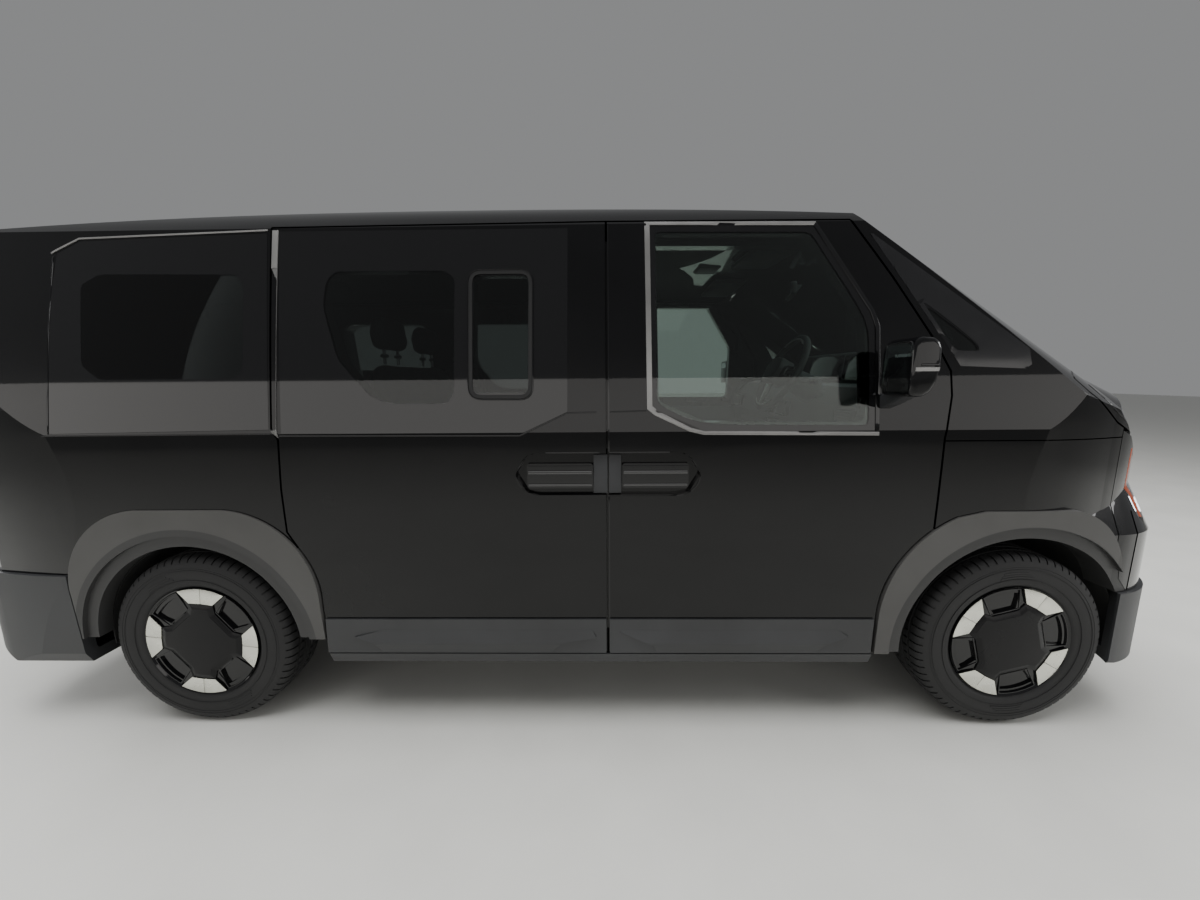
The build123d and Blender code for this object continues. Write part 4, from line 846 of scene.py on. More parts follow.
def make_side_trim(skin):
    satin, gloss = satin_trim, gloss_trim
    # Satin surround of the front door's window, open along its leaning front edge
    outer = door_window[3:] + [door_window[0]]
    inner = in_metres([(803, 1806), (254, 1814), (260, 1211), (282, 1193), (390, 1138), (435, 1127), (1018, 1121)])
    strip = laid(band("window_surround", outer, inner), skin, 0.0035, bevel=0.0012)
    fit_pair(strip, "window_surround", side_bodies["front"], satin)
    outer = door_window[:4]
    inner = in_metres([(1005, 1121), (1005, 1466), (988, 1517), (803, 1806)])
    strip = laid(band("window_front_channel", outer, inner), skin, 0.0030, bevel=0.0012)
    fit_pair(strip, "window_front_channel", side_bodies["front"], gloss)
    # Grey post between the sliding door's glass and the rear quarter glass
    strip = band("quarter_post", in_metres([(-1033, 1813), (-1044, 1135), (-1030, 1112)]),
                 in_metres([(-1013, 1813), (-1025, 1138), (-1020, 1112)]))
    fit_pair(laid(strip, skin, 0.0035, bevel=0.0012), "quarter_post", side_bodies["body"], satin)
    # Thin satin line along the top of the rear quarter glass
    line = in_metres([(-1802, 1742), (-1790, 1750), (-1706, 1791), (-1050, 1811)])
    strip = band("quarter_top_line", line, shifted_line(line, 0.006, closed=False))
    fit_pair(laid(strip, skin, 0.0030, bevel=0.0010), "quarter_top_line", side_bodies["body"], satin)
    # Rolled edges of the panels, which catch the light
    edges = [("waist_edge_rear", [(-1850, 1121), (-1046, 1123)], "body"),
             ("waist_edge_middle", [(-1016, 1116), (-190, 1112), (-28, 1188), (104, 1190)], "body"),
             ("waist_edge_front", [(116, 1190), (240, 1193)], "front"),
             ("sliding_door_lip", [(105, 402), (105, 905)], "body"),
             ("sliding_door_lip_top", [(105, 1058), (105, 1815)], "body"),
             ("front_door_lip", [(115, 402), (115, 905)], "front"),
             ("front_door_lip_top", [(115, 1058), (115, 1815)], "front"),
             ("quarter_pillar_edge", [(-1800, 1735), (-1815, 1480), (-1826, 1128)], "body")]
    for name, points, body in edges:
        line = in_metres(points)
        strip = band(name, line, shifted_line(line, 0.0045, closed=False))
        fit_pair(laid(strip, skin, 0.0016, bevel=0.0014), name, side_bodies[body], gloss)
    # Raised rubber frame of the vent window in the sliding door
    ring = round_line(in_metres([(-360, 1670), (-362, 1240), (-146, 1238), (-142, 1669)]), 0.045)
    for name, grow, width, height, finish in (("vent_frame", 0.0, 0.013, 0.0042, seal_rubber),
                                              ("vent_frame_bead", -0.004, 0.0035, 0.0056, gloss_trim)):
        line = shifted_line(ring, grow)
        inner = shifted_line(line, width)
        strip = band(name, line + line[:1], inner + inner[:1])
        fit_pair(laid(strip, skin, height, bevel=0.0010), name, side_bodies["body"], finish)
    # Black panel behind the windscreen pillar, with its small window left open
    panel = pane("pillar_panel", in_metres([(992, 1776), (1286, 1336), (1500, 1326), (1520, 1340), (1512, 1392),
                                            (1000, 1776)]), step=0.02)
    panel = laid(panel, skin, 0.0014)
    modify(panel, "SMOOTH", factor=0.5, iterations=6, use_x=False, use_y=True, use_z=False)
    hole = plate("pillar_panel_hole", [(x, -1.3, z) for x, z in round_line(corner_view, 0.02, 3)], (0, 1.2, 0))
    panel = cut_away(panel, hole)
    fit_pair(smooth(panel), "pillar_panel", side_bodies["body"], pillar_gloss)


def make_handles(skin):
    """Edges of the shared handle recess, ribs on the paddles and the dark block between them."""
    recess = in_metres([(-210, 980), (-171, 1044), (-126, 1053), (342, 1053), (387, 1044), (426, 980), (416, 940),
                        (372, 907), (-147, 911), (-188, 932)])
    rim = round_line(recess, 0.030, 4)
    for name, keep, body in (("handle_rim_rear", lambda x: x < 0.107, "body"),
                             ("handle_rim_front", lambda x: x > 0.113, "front")):
        half = [p for p in rim if keep(p[0])]
        split = max(range(len(half)), key=lambda i: math.dist(half[i], half[i - 1]))
        half = half[split:] + half[:split]
        end_x = 0.107 if body == "body" else 0.113
        half = [(end_x, half[0][1])] + half + [(end_x, half[-1][1])]
        grow = shifted_line(half, 0.004, closed=False)
        strip = laid(band(name, half, grow), skin, 0.0018, bevel=0.0012)
        fit_pair(strip, name, side_bodies[body], gloss_trim)
    for name, low_x, high_x, body in (("handle_rib_rear", -0.166, 0.054, "body"),
                                      ("handle_rib_front", 0.162, 0.382, "front")):
        parts = []
        for z, tall in ((0.9375, 0.009), (0.9800, 0.012), (1.0085, 0.009)):
            line = [(low_x, z), (high_x, z)]
            parts.append(laid(band(name, line, shifted_line(line, tall, closed=False)), skin, 0.0030, bevel=0.0022))
        fit_pair(joined(name, parts), name, side_bodies[body], paddle_gloss)
    for name, low_x, high_x, body in (("handle_block_rear", 0.059, 0.1075, "body"),
                                      ("handle_block_front", 0.1125, 0.155, "front")):
        cover = plate(name, [(low_x, -0.9345, 0.912), (high_x, -0.9345, 0.912), (high_x, -0.9345, 0.958),
                             (high_x, -0.9300, 0.961), (high_x, -0.9260, 1.046), (low_x, -0.9260, 1.046),
                             (low_x, -0.9300, 0.961), (low_x, -0.9345, 0.958)], (0, 0.012, 0), 0.0012)
        fit_pair(smooth(cover), name, side_bodies[body], dark_plastic)


# ---------------------------------------------------------------- padded seats

def swollen(piece, cap=0.020, pressure=4.0):
    """Fills a closed form as sewn cloth over foam; no point moves farther than the cap."""
    modify(piece, "REMESH", mode="VOXEL", voxel_size=0.014)
    before = [vertex.co.copy() for vertex in piece.data.vertices]
    only(piece)
    cloth = piece.modifiers.new("cloth", "CLOTH")
    cloth.settings.use_pressure = True
    cloth.settings.uniform_pressure_force = pressure
    cloth.settings.effector_weights.gravity = 0.0
    for step in range(1, 21):
        scene.frame_set(step)
    bpy.ops.object.modifier_apply(modifier=cloth.name)
    for vertex, start in zip(piece.data.vertices, before):
        move = vertex.co - start
        if move.length > cap:
            vertex.co = start + move * (cap / move.length)
    scene.frame_set(1)
    modify(piece, "SUBSURF", levels=1, render_levels=1)
    return smooth(piece, 180.0)


def pressed(piece, test, step, reach):
    """Moves the picked points, and the foam around them follows softly."""
    pick(piece, test, "VERT")
    bpy.ops.transform.translate(value=step, use_proportional_edit=True, proportional_edit_falloff="SMOOTH",
                                proportional_size=reach)
    to_object_mode()
    return piece


def pad(name, profile, middle_y, half_width, narrow=1.0, above=9.0):
    """A cushion's foam: the side profile pushed across, narrower above a height, then swollen."""
    piece = plate(name, [(x, middle_y - half_width, z) for x, z in profile], (0, 2 * half_width, 0))
    if narrow != 1.0:
        pick(piece, lambda co, no: co.z > above, "VERT")
        bpy.ops.transform.resize(value=(1.0, narrow, 1.0), center_override=(0.0, middle_y, 0.0))
        to_object_mode()
    rounded(piece, 0.034, 3)
    return swollen(piece)


def seat_parts(heel_x, middle_y, half_width, places):
    """Pads, seams, headrests and hard parts of one seat. places are the middles of its sitting places."""
    pads, seams, hard, metal = [], [], [], []
    half_place = half_width / len(places)
    channel = half_place - 0.085
    cushion = pad("cushion", [(heel_x + x, z) for x, z in (
        (-0.020, 0.668), (0.490, 0.676), (0.512, 0.706), (0.498, 0.748), (0.400, 0.752), (0.060, 0.734),
        (-0.020, 0.738))], middle_y, half_width - 0.020)
    back = pad("back", [(heel_x + x, z) for x, z in (
        (-0.092, 0.690), (0.020, 0.740), (0.052, 0.800), (0.036, 0.960), (-0.070, 1.380), (-0.150, 1.380),
        (-0.146, 1.180))], middle_y, half_width - 0.024, 0.88, 1.3)
    for place_y in places:
        for side in (-1, 1):
            line_y = place_y + side * channel
            pressed(cushion, lambda co, no: abs(co.y - line_y) < 0.006 and no.z > 0.4 and co.x > heel_x + 0.05,
                    (0, 0, -0.016), 0.045)
            pressed(back, lambda co, no: abs(co.y - line_y) < 0.006 and no.x > 0.4 and co.z > 0.80,
                    (-0.016, 0, 0), 0.045)
        for x in (0.18, 0.34):
            pressed(cushion, lambda co, no: abs(co.x - heel_x - x) < 0.006 and no.z > 0.4
                    and abs(co.y - place_y) < channel - 0.012, (0, 0, -0.009), 0.032)
        for z in (0.93, 1.08, 1.23):
            pressed(back, lambda co, no: abs(co.z - z) < 0.006 and no.x > 0.4
                    and abs(co.y - place_y) < channel - 0.012, (-0.009, 0, 0), 0.032)
        for side in (-1, 1):
            line_y = place_y + side * channel
            lines = [[(heel_x + 0.04, line_y), (heel_x + 0.47, line_y)],
                     [(heel_x + 0.04, line_y - 0.0025), (heel_x + 0.47, line_y - 0.0025)]]
            seams.append(laid(band("seam", *lines, view="z"), cushion, 0.0012, "z", longest=0.02))
            lines = [[(line_y, 0.82), (line_y, 1.31)], [(line_y + 0.0025, 0.82), (line_y + 0.0025, 1.31)]]
            seams.append(laid(band("seam", *lines, view="front"), back, 0.0012, "front", longest=0.02))
        for x in (0.18, 0.34):
            lines = [[(heel_x + x, place_y - channel), (heel_x + x, place_y + channel)],
                     [(heel_x + x + 0.0025, place_y - channel), (heel_x + x + 0.0025, place_y + channel)]]
            seams.append(laid(band("seam", *lines, view="z"), cushion, 0.0012, "z", longest=0.02))
        head = pad("headrest", [(heel_x + x, z) for x, z in (
            (-0.150, 1.428), (-0.092, 1.424), (-0.082, 1.470), (-0.090, 1.560), (-0.146, 1.560), (-0.158, 1.500))],
            place_y, 0.118, 0.9, 1.5)
        pads.append(head)
        for side in (-1, 1):
            metal.append(drum("headrest_post", (heel_x - 0.118, place_y + side * 0.062, 1.412), 0.0065, 0.09, "Z", 16))
            hard.append(rounded(drum("headrest_guide", (heel_x - 0.118, place_y + side * 0.062, 1.402), 0.016, 0.014,
                                     "Z", 20), 0.003))
    pads += [cushion, back]
    # Hard parts: back shell, side covers, pedestal, slides and the recline lever
    shell = plate("seat_back_shell", [(heel_x + x, middle_y - half_width + 0.055, z) for x, z in (
        (-0.126, 0.720), (-0.108, 0.700), (-0.150, 1.330), (-0.166, 1.345), (-0.168, 1.300))],
        (0, 2 * half_width - 0.11, 0), 0.006)
    hard.append(smooth(shell))
    for side in (-1, 1):
        edge = middle_y + side * (half_width - 0.012)
        cover = plate("seat_side_cover", [(heel_x + x, edge, z) for x, z in (
            (-0.105, 0.585), (0.380, 0.575), (0.440, 0.620), (0.440, 0.675), (0.050, 0.690), (0.000, 0.760),
            (-0.080, 0.770), (-0.120, 0.700))], (0, -side * 0.032, 0), 0.007)
        hard.append(smooth(cover))
        slide = plate("seat_slide", [(heel_x + x, edge - side * 0.060, z) for x, z in (
            (-0.150, 0.341), (0.470, 0.341), (0.485, 0.350), (0.485, 0.366), (-0.165, 0.366), (-0.165, 0.350))],
            (0, -side * 0.040, 0), 0.004)
        metal.append(smooth(slide))
    base = plate("seat_pedestal", [(heel_x + x, middle_y - half_width + 0.075, z) for x, z in (
        (-0.060, 0.360), (0.400, 0.360), (0.380, 0.420), (0.430, 0.590), (0.430, 0.665), (-0.090, 0.665),
        (-0.090, 0.590), (-0.040, 0.420))], (0, 2 * half_width - 0.15, 0), 0.012, 3)
    pick(base, lambda middle, normal: abs(normal.y) > 0.99 and abs(middle.z - 0.5) < 0.2)
    inset(0.022, -0.006)
    to_object_mode()
    hard.append(smooth(base))
    lever = plate("recline_lever", [(heel_x + x, middle_y - half_width + 0.004, z) for x, z in (
        (0.020, 0.640), (0.150, 0.652), (0.162, 0.664), (0.150, 0.676), (0.016, 0.664))], (0, -0.012, 0), 0.004)
    hard.append(smooth(lever))
    return pads, joined("seams", seams), joined("hard_parts", hard), joined("metal_parts", metal)


def fit_seat(name, parts, replaced, mirrored=False):
    pads, seams, hard, metal = parts
    sides = [("right", None), ("left", across_middle)] if mirrored else [("row", None)]
    kinds = [source.name.split(".")[0] for source in pads]
    for side, matrix in sides:
        for number, source in enumerate(pads):
            piece = source if matrix is None else copied(source, "pad", matrix)
            piece.name = f"{name}_{kinds[number]}_{number}_{side}"
            fit(piece, "body", seat_cloth)
            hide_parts(replaced)
        for source, part, finish, slot in ((seams, "seams", seam_thread, "seat_fabric"),
                                           (hard, "hard_parts", dark_plastic, "cabin_plastic"),
                                           (metal, "metal_parts", satin_steel, "gloss_trim")):
            piece = source if matrix is None else copied(source, part, matrix)
            piece.name = f"{name}_{part}_{side}"
            fit(smooth(piece), "body", finish)


def make_seats():
    fit_seat("front_seat", seat_parts(0.190, -0.385, 0.250, [-0.385]), "front_seats", mirrored=True)
    fit_seat("rear_bench", seat_parts(-0.700, -0.285, 0.415, [-0.485, -0.085]), "rear_seats")
    fit_seat("rear_single", seat_parts(-0.700, 0.410, 0.270, [0.410]), "rear_seats")


# ---------------------------------------------------------------- cabin

wheel_middle = Vector((0.888, -0.385, 1.316))
wheel_place = Matrix.Translation(wheel_middle) @ Matrix.Rotation(math.radians(118.0), 4, "Y")


def make_steering_wheel():
    """Drawn flat about the origin, with +X down and -Z towards the driver, then put on the column."""
    pad_line = [(-0.052, -0.060), (-0.058, 0.0), (-0.052, 0.060), (-0.010, 0.082), (0.038, 0.066), (0.062, 0.036),
                (0.066, 0.0), (0.062, -0.036), (0.038, -0.066), (-0.010, -0.082)]
    cover = plate("wheel_hub_cover", [(x, y, -0.014) for x, y in pad_line], (0, 0, -0.034))
    pick(cover, lambda middle, normal: normal.z < -0.9)
    inset(0.012, 0.004)
    inset(0.010, 0.002)
    to_object_mode()
    rounded(cover, 0.006, 3)
    fit(moved(smooth(cover), wheel_place), "body", dark_plastic)
    arms = []
    for side in (-1, 1):
        for row in (-0.014, 0.018):
            arm = plate("wheel_arm", [(row - 0.011, side * 0.070, -0.016), (row + 0.011, side * 0.070, -0.016),
                                      (row + 0.008, side * 0.165, -0.010), (row - 0.008, side * 0.165, -0.010)],
                        (0, 0, -0.010), 0.003)
            arms.append(smooth(arm))
        keys = plate("wheel_keys", [(x, side * y, -0.022) for x, y in (
            (-0.020, 0.084), (-0.022, 0.122), (0.022, 0.120), (0.026, 0.082))], (0, 0, -0.010), 0.003)
        pick(keys, lambda middle, normal: normal.z < -0.95)
        inset(0.004, -0.0015)
        to_object_mode()
        arms.append(smooth(keys))
    lower = plate("wheel_lower_arm", [(0.060, -0.026, -0.016), (0.060, 0.026, -0.016), (0.165, 0.017, -0.008),
                                      (0.165, -0.017, -0.008)], (0, 0, -0.009), 0.003)
    arms.append(smooth(lower))
    fit(moved(joined("wheel_arms", arms), wheel_place), "body", gloss_trim)
    rim = []
    for start in (-38.0, 142.0):
        ring = plate("rim_insert", [(math.cos(math.radians(start + a)) * r, math.sin(math.radians(start + a)) * r,
                                     -0.0125) for r, angles in ((0.1585, range(0, 77, 7)), (0.1660, range(76, -1, -7)))
                                    for a in angles], (0, 0, -0.004), 0.001)
        rim.append(smooth(ring))
    fit(moved(joined("wheel_rim_inserts", rim), wheel_place), "body", satin_trim)
    shroud = drum("column_shroud", (0, 0, 0.105), 0.050, 0.130, "Z", 32, 0.062)
    rounded(shroud, 0.010, 3)
    stalks = [smooth(shroud)]
    for side, length in ((-1, 0.150), (1, 0.165)):
        stalk = drum("column_stalk", (0.0, side * (0.045 + length / 2), 0.075), 0.0075, length, "Y", 16, 0.0075)
        knob = rounded(drum("stalk_knob", (0.0, side * (0.035 + length), 0.075), 0.0115, 0.045, "Y", 24), 0.003)
        ring = rounded(drum("stalk_ring", (0.0, side * (length + 0.004), 0.075), 0.0135, 0.008, "Y", 24), 0.002)
        stalks += [smooth(stalk), smooth(knob), smooth(ring)]
    fit(moved(joined("column_shroud", stalks), wheel_place), "body", dark_plastic)


def make_dashboard():
    # Wide screen housing behind the steering wheel, running to the middle
    housing = plate("screen_housing", [(1.180, -0.640, 1.262), (1.196, -0.640, 1.400), (1.204, -0.640, 1.408),
                                       (1.216, -0.640, 1.402), (1.228, -0.640, 1.262)], (0, 0.790, 0), 0.005, 3)
    fit(smooth(housing), "body", dark_plastic)
    for name, low_y, high_y in (("driver_screen", -0.630, -0.335), ("middle_screen", -0.325, 0.140)):
        glass = plate(name, [(1.1855, low_y, 1.285), (1.1975, low_y, 1.396), (1.1975, high_y, 1.396),
                             (1.1855, high_y, 1.285)], (-0.003, 0, 0), 0.001)
        fit(smooth(glass), "body", screen_glass)
    # Pad along the ledge, lid of the glove box and the middle panel with its keys
    ledge = plate("dash_ledge", [(1.036, -0.770, 1.165), (1.100, -0.770, 1.259), (1.150, -0.770, 1.272),
                                 (1.146, -0.770, 1.262), (1.102, -0.770, 1.248), (1.048, -0.770, 1.160)],
                  (0, 1.540, 0), 0.002)
    fit(smooth(ledge), "body", stitched_hide)
    lid = plate("glove_box_lid", [(1.0395, 0.150, 0.900), (1.0225, 0.150, 1.050), (1.0225, 0.620, 1.050),
                                  (1.0395, 0.620, 0.900)], (-0.008, 0, 0), 0.003)
    pick(lid, lambda middle, normal: normal.x < -0.9)
    inset(0.030, -0.002)
    to_object_mode()
    fit(smooth(lid), "body", dark_plastic)
    panel = plate("middle_panel", [(1.0300, -0.130, 0.960), (1.0130, -0.130, 1.080), (1.0130, 0.110, 1.080),
                                   (1.0300, 0.110, 0.960)], (-0.010, 0, 0), 0.003)
    keys = [smooth(panel)]
    for k in range(5):
        y = -0.105 + k * 0.0475
        keys.append(smooth(rounded(block("panel_key", (1.002, y, 1.040), (1.020, y + 0.036, 1.056)), 0.002)))
    fit(joined("middle_panel", keys), "body", gloss_trim)
    # Air vents with upright outer frames and level blades
    for number, middle_y in enumerate((-0.715, -0.080, 0.120, 0.715)):
        frame_block = block("vent_frame", (1.004, middle_y - 0.062, 1.105), (1.040, middle_y + 0.062, 1.175))
        pick(frame_block, lambda middle, normal: normal.x < -0.9)
        inset(0.007)
        push((0.022, 0, 0))
        to_object_mode()
        outward(frame_block)
        parts = [smooth(rounded(frame_block, 0.0015))]
        for k in range(5):
            z = 1.119 + k * 0.0105
            blade = plate("vent_blade", [(1.008, middle_y - 0.055, z), (1.022, middle_y - 0.055, z + 0.004),
                                         (1.0225, middle_y - 0.055, z + 0.0026), (1.0085, middle_y - 0.055, z - 0.0016)],
                          (0, 0.110, 0))
            parts.append(blade)
        fit(joined(f"air_vent_{number}", parts), "body", gloss_trim)


def make_roof_lining():
    lining = plate("roof_lining", [(-2.080, y, z) for y, z in (
        (-0.640, 1.792), (-0.600, 1.822), (-0.400, 1.848), (0.0, 1.860), (0.400, 1.848), (0.600, 1.822),
        (0.640, 1.792), (0.600, 1.816), (0.400, 1.842), (0.0, 1.854), (-0.400, 1.842), (-0.600, 1.816))],
        (2.950, 0, 0))
    fit(smooth(lining), "body", liner_felt)
    visor = plate("sun_visor", [(0.705, y, z) for y, z in ((-0.560, 1.800), (-0.560, 1.822), (-0.160, 1.832),
                                                          (-0.160, 1.812))], (0.170, 0, -0.004), 0.006, 3)
    fit_pair(smooth(visor), "sun_visor", side_bodies["body"], liner_felt)
    lamp = plate("reading_lamp", [(0.560, -0.075, 1.856), (0.690, -0.075, 1.856), (0.675, -0.075, 1.838),
                                  (0.575, -0.075, 1.838)], (0, 0.150, 0), 0.004)
    fit(smooth(lamp), "body", dark_plastic)
    head = plate("cabin_mirror", [(1.046, y, z) for y, z in round_line(
        [(-0.122, 1.702), (-0.112, 1.768), (0.112, 1.768), (0.122, 1.702)], 0.020, 4)], (0.026, 0, 0), 0.006, 3)
    glass = plate("cabin_mirror_glass", [(1.0445, y, z) for y, z in round_line(
        [(-0.114, 1.709), (-0.106, 1.761), (0.106, 1.761), (0.114, 1.709)], 0.016, 4)], (0.002, 0, 0))
    stem = plate("cabin_mirror_stem", [(1.066, -0.014, 1.735), (1.088, -0.014, 1.765), (1.112, -0.014, 1.764),
                                       (1.082, -0.014, 1.722)], (0, 0.028, 0), 0.004)
    turn = Matrix.Translation((1.060, 0, 0)) @ Matrix.Rotation(math.radians(-14.0), 4, "Z") @ Matrix.Translation(
        (-1.060, 0, 0))
    fit(joined("cabin_mirror", [moved(smooth(head), turn), smooth(stem)]), "body", dark_plastic)
    fit(moved(smooth(glass), turn), "body", mirror_glass)


def make_door_cards():
    """Linings of the front and sliding doors, laid on the doors' inner skins."""
    for node, prefix, body, window, card, rest_line, pocket in (
            ("front_door_right", "front_card", "front", None,
             [(0.190, 0.520), (0.190, 1.040), (0.250, 1.090), (1.120, 1.090), (1.150, 1.040), (1.080, 0.640), (0.980, 0.520)],
             [(0.300, 0.880), (0.300, 0.940), (0.760, 0.985), (0.790, 0.950), (0.740, 0.900)],
             [(0.300, 0.540), (0.300, 0.640), (0.860, 0.680), (0.900, 0.640), (0.840, 0.540)]),
            ("sliding_door_right", "sliding_card", "body", None,
             [(-0.960, 0.620), (-0.960, 1.040), (-0.900, 1.090), (-0.020, 1.090), (0.030, 1.040), (0.030, 0.520), (-0.760, 0.520)],
             [(-0.640, 0.880), (-0.640, 0.940), (-0.240, 0.940), (-0.210, 0.920), (-0.240, 0.880)],
             [(-0.620, 0.560), (-0.620, 0.660), (-0.160, 0.660), (-0.140, 0.640), (-0.160, 0.560)])):
        skin = skin_of(node)
        for name, line, height, finish in (("panel", card, 0.007, dark_plastic), ("arm_rest", rest_line, 0.042, stitched_hide),
                                           ("pocket", pocket, 0.030, dark_plastic)):
            sheet = pane(f"{prefix}_{name}", line, "inside", 0.06)
            piece = laid(sheet, skin, height, "inside", sink=0.001, bevel=0.004)
            fit_pair(piece, f"{prefix}_{name}", side_bodies[body], finish)
        bpy.data.objects.remove(skin)


def make_door_mirror():
    side_line = [(0.9870, 1.246), (0.9860, 1.300), (0.9890, 1.392), (0.9960, 1.412), (1.0120, 1.4175),
                 (1.0440, 1.4155), (1.0620, 1.405), (1.0700, 1.385), (1.0715, 1.335), (1.0640, 1.290),
                 (1.0480, 1.258), (1.0250, 1.244)]
    shell = plate("mirror_shell", [(x, -0.974, z) for x, z in side_line], (0, -0.152, 0), 0.014, 4)
    strip = copied(shell, "mirror_strip", Matrix.Translation((1.035, -1.050, 1.33)) @ Matrix.Diagonal(
        (1.025, 1.018, 1.0, 1.0)) @ Matrix.Translation((-1.035, 1.050, -1.33)))
    for height, keep_above in ((1.3190, True), (1.3300, False)):
        pick(strip)
        bpy.ops.mesh.bisect(plane_co=(0, 0, height), plane_no=(0, 0, 1), use_fill=True, clear_inner=keep_above,
                            clear_outer=not keep_above)
        to_object_mode()
    pick(strip)
    bpy.ops.mesh.bisect(plane_co=(0.996, 0, 0), plane_no=(1, 0, 0), use_fill=True, clear_inner=True)
    to_object_mode()
    pieces = [(shell, "mirror_shell", black_paint), (strip, "mirror_strip", satin_trim)]
    rim_line = round_line([(-0.976, 1.250), (-0.978, 1.405), (-1.118, 1.408), (-1.124, 1.250)], 0.030, 4)
    rim = plate("mirror_rim", [(0.9868, y, z) for y, z in rim_line], (0.010, 0, 0), 0.003)
    pick(rim, lambda middle, normal: normal.x < -0.9)
    inset(0.006, -0.004)
    to_object_mode()
    pieces.append((rim, "mirror_rim", gloss_trim))
    face_line = round_line([(-0.984, 1.258), (-0.986, 1.398), (-1.111, 1.400), (-1.116, 1.258)], 0.026, 4)
    face = plate("mirror_face", [(0.9895, y, z) for y, z in face_line], (-0.0015, 0, 0))
    pieces.append((face, "mirror_face", mirror_glass))
    arm = plate("mirror_arm", [(1.018, y, z) for y, z in ((-0.905, 1.190), (-0.905, 1.236), (-0.985, 1.262),
                                                         (-1.050, 1.264), (-1.068, 1.248), (-0.985, 1.216))],
                (0.042, 0, 0), 0.008, 3)
    foot = plate("mirror_foot", [(x, -0.922, z) for x, z in ((0.992, 1.172), (0.986, 1.238), (1.000, 1.252),
                                                           (1.078, 1.248), (1.086, 1.186), (1.070, 1.170))],
                 (0, 0.014, 0), 0.004)
    arms = joined("mirror_arm", [smooth(arm), smooth(foot)])
    pieces.append((arms, "mirror_arm", dark_plastic))
    lamp = plate("mirror_lamp", [(x, -1.1255, z) for x, z in ((1.010, 1.3345), (1.064, 1.3345), (1.060, 1.3410),
                                                            (1.012, 1.3410))], (0, -0.0020, 0), 0.0006)
    pieces.append((lamp, "mirror_lamp", gloss_trim))
    for piece, name, finish in pieces:
        twin = copied(piece, f"{name}_left", across_middle)
        piece.name = f"{name}_right"
        for side, one in (("right", piece), ("left", twin)):
            fit(smooth(one), f"front_door_{side}", finish)
            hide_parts(f"door_mirror_{side}")


# ---------------------------------------------------------------- lamps, nose and tail

def spots(name, places, radius, view, skin, sink, height, sides=20, bevel=0.0):
    """Round pieces laid on the skin at several places."""
    parts = []
    for a, b in places:
        ring = [(a + radius * math.cos(2 * math.pi * k / sides), b + radius * math.sin(2 * math.pi * k / sides))
                for k in range(sides)]
        sheet = trace(name, [planes[view](*point) for point in ring])
        parts.append(laid(sheet, skin, height, view, sink, bevel))
    return joined(name, parts)


def frame_line(name, points, width, skin, height, view, sink=0.0006, bevel=0.0):
    """A closed rim of even width laid on the skin."""
    inner = shifted_line(points, width)
    return laid(band(name, points + points[:1], inner + inner[:1], view), skin, height, view, sink, bevel)


def make_front_lamps():
    skin = skin_of("headlamps")
    backing = pane("lamp_backing", [(-0.792, 0.648), (-0.792, 0.783), (-0.681, 0.783), (-0.681, 0.648)], "front", 0.02)
    fit_pair(laid(backing, skin, -0.009, "front", sink=0.011), "lamp_backing", side_bodies["body"], gloss_trim)
    middles = [(y, z) for y in (-0.708, -0.762) for z in (0.684, 0.747)]
    bezels = [frame_line("lamp_bezel", round_line([(y - 0.023, z - 0.026), (y + 0.023, z - 0.026),
                                                   (y + 0.023, z + 0.026), (y - 0.023, z + 0.026)], 0.008, 3),
                         0.004, skin, -0.003, "front", 0.010, 0.0008) for y, z in middles]
    fit_pair(joined("lamp_bezels", bezels), "lamp_bezels", side_bodies["body"], satin_trim)
    fit_pair(spots("lamp_modules", middles, 0.0145, "front", skin, 0.009, -0.004, bevel=0.002), "lamp_modules",
             side_bodies["body"], lamp_module)
    bpy.data.objects.remove(skin)
    skin = skin_of("lamp_strips")
    guide = band("light_guide", [(-0.801, 0.850), (-0.797, 1.036)], [(-0.789, 0.850), (-0.786, 1.036)], "front")
    fit_pair(laid(guide, skin, -0.002, "front", 0.007, 0.001, 0.02), "light_guide", side_bodies["body"], lamp_module)
    marker = band("side_marker", [(-0.850, 0.794), (-0.826, 0.866), (-0.824, 1.040)],
                  [(-0.838, 0.788), (-0.812, 0.862), (-0.808, 1.040)], "front")
    fit_pair(laid(marker, skin, 0.0005, "front", 0.002, 0.0, 0.012), "side_marker", side_bodies["body"], amber_lens)
    bpy.data.objects.remove(skin)


def make_nose():
    skin = skin_of("hood")
    line = in_metres([(1760, 1268), (1834, 1186), (1927, 1130), (1984, 1092)])
    bead = band("hood_edge", line, shifted_line(line, 0.005, closed=False))
    fit_pair(laid(bead, skin, 0.0016, bevel=0.0012, longest=0.03), "hood_edge", ("hood", "hood"), gloss_trim)
    bpy.data.objects.remove(skin)
    skin = skin_of("nose_panel", "front_bumper")
    lid = round_line([(0.075, 0.865), (0.075, 1.010), (0.255, 1.010), (0.255, 0.865)], 0.022, 4)
    fit(frame_line("charge_port_seam", lid, -0.0025, skin, 0.0006, "front", 0.002), "body", seal_rubber)
    sensors = [(y, 0.470) for y in (-0.600, -0.330, 0.330, 0.600)]
    fit(spots("front_sensors", sensors, 0.012, "front", skin, 0.002, 0.0012, bevel=0.0008), "body", dark_plastic)
    rings = [frame_line("sensor_ring", [(y + 0.0165 * math.cos(0.5236 * k), z + 0.0165 * math.sin(0.5236 * k))
                                        for k in range(12)], 0.0030, skin, 0.0008, "front", 0.001) for y, z in sensors]
    fit(joined("front_sensor_rings", rings), "body", gloss_trim)
    bpy.data.objects.remove(skin)
    make_plate("front_plate", 2.304, 1.0, 0.165, 0.612, 0.727)


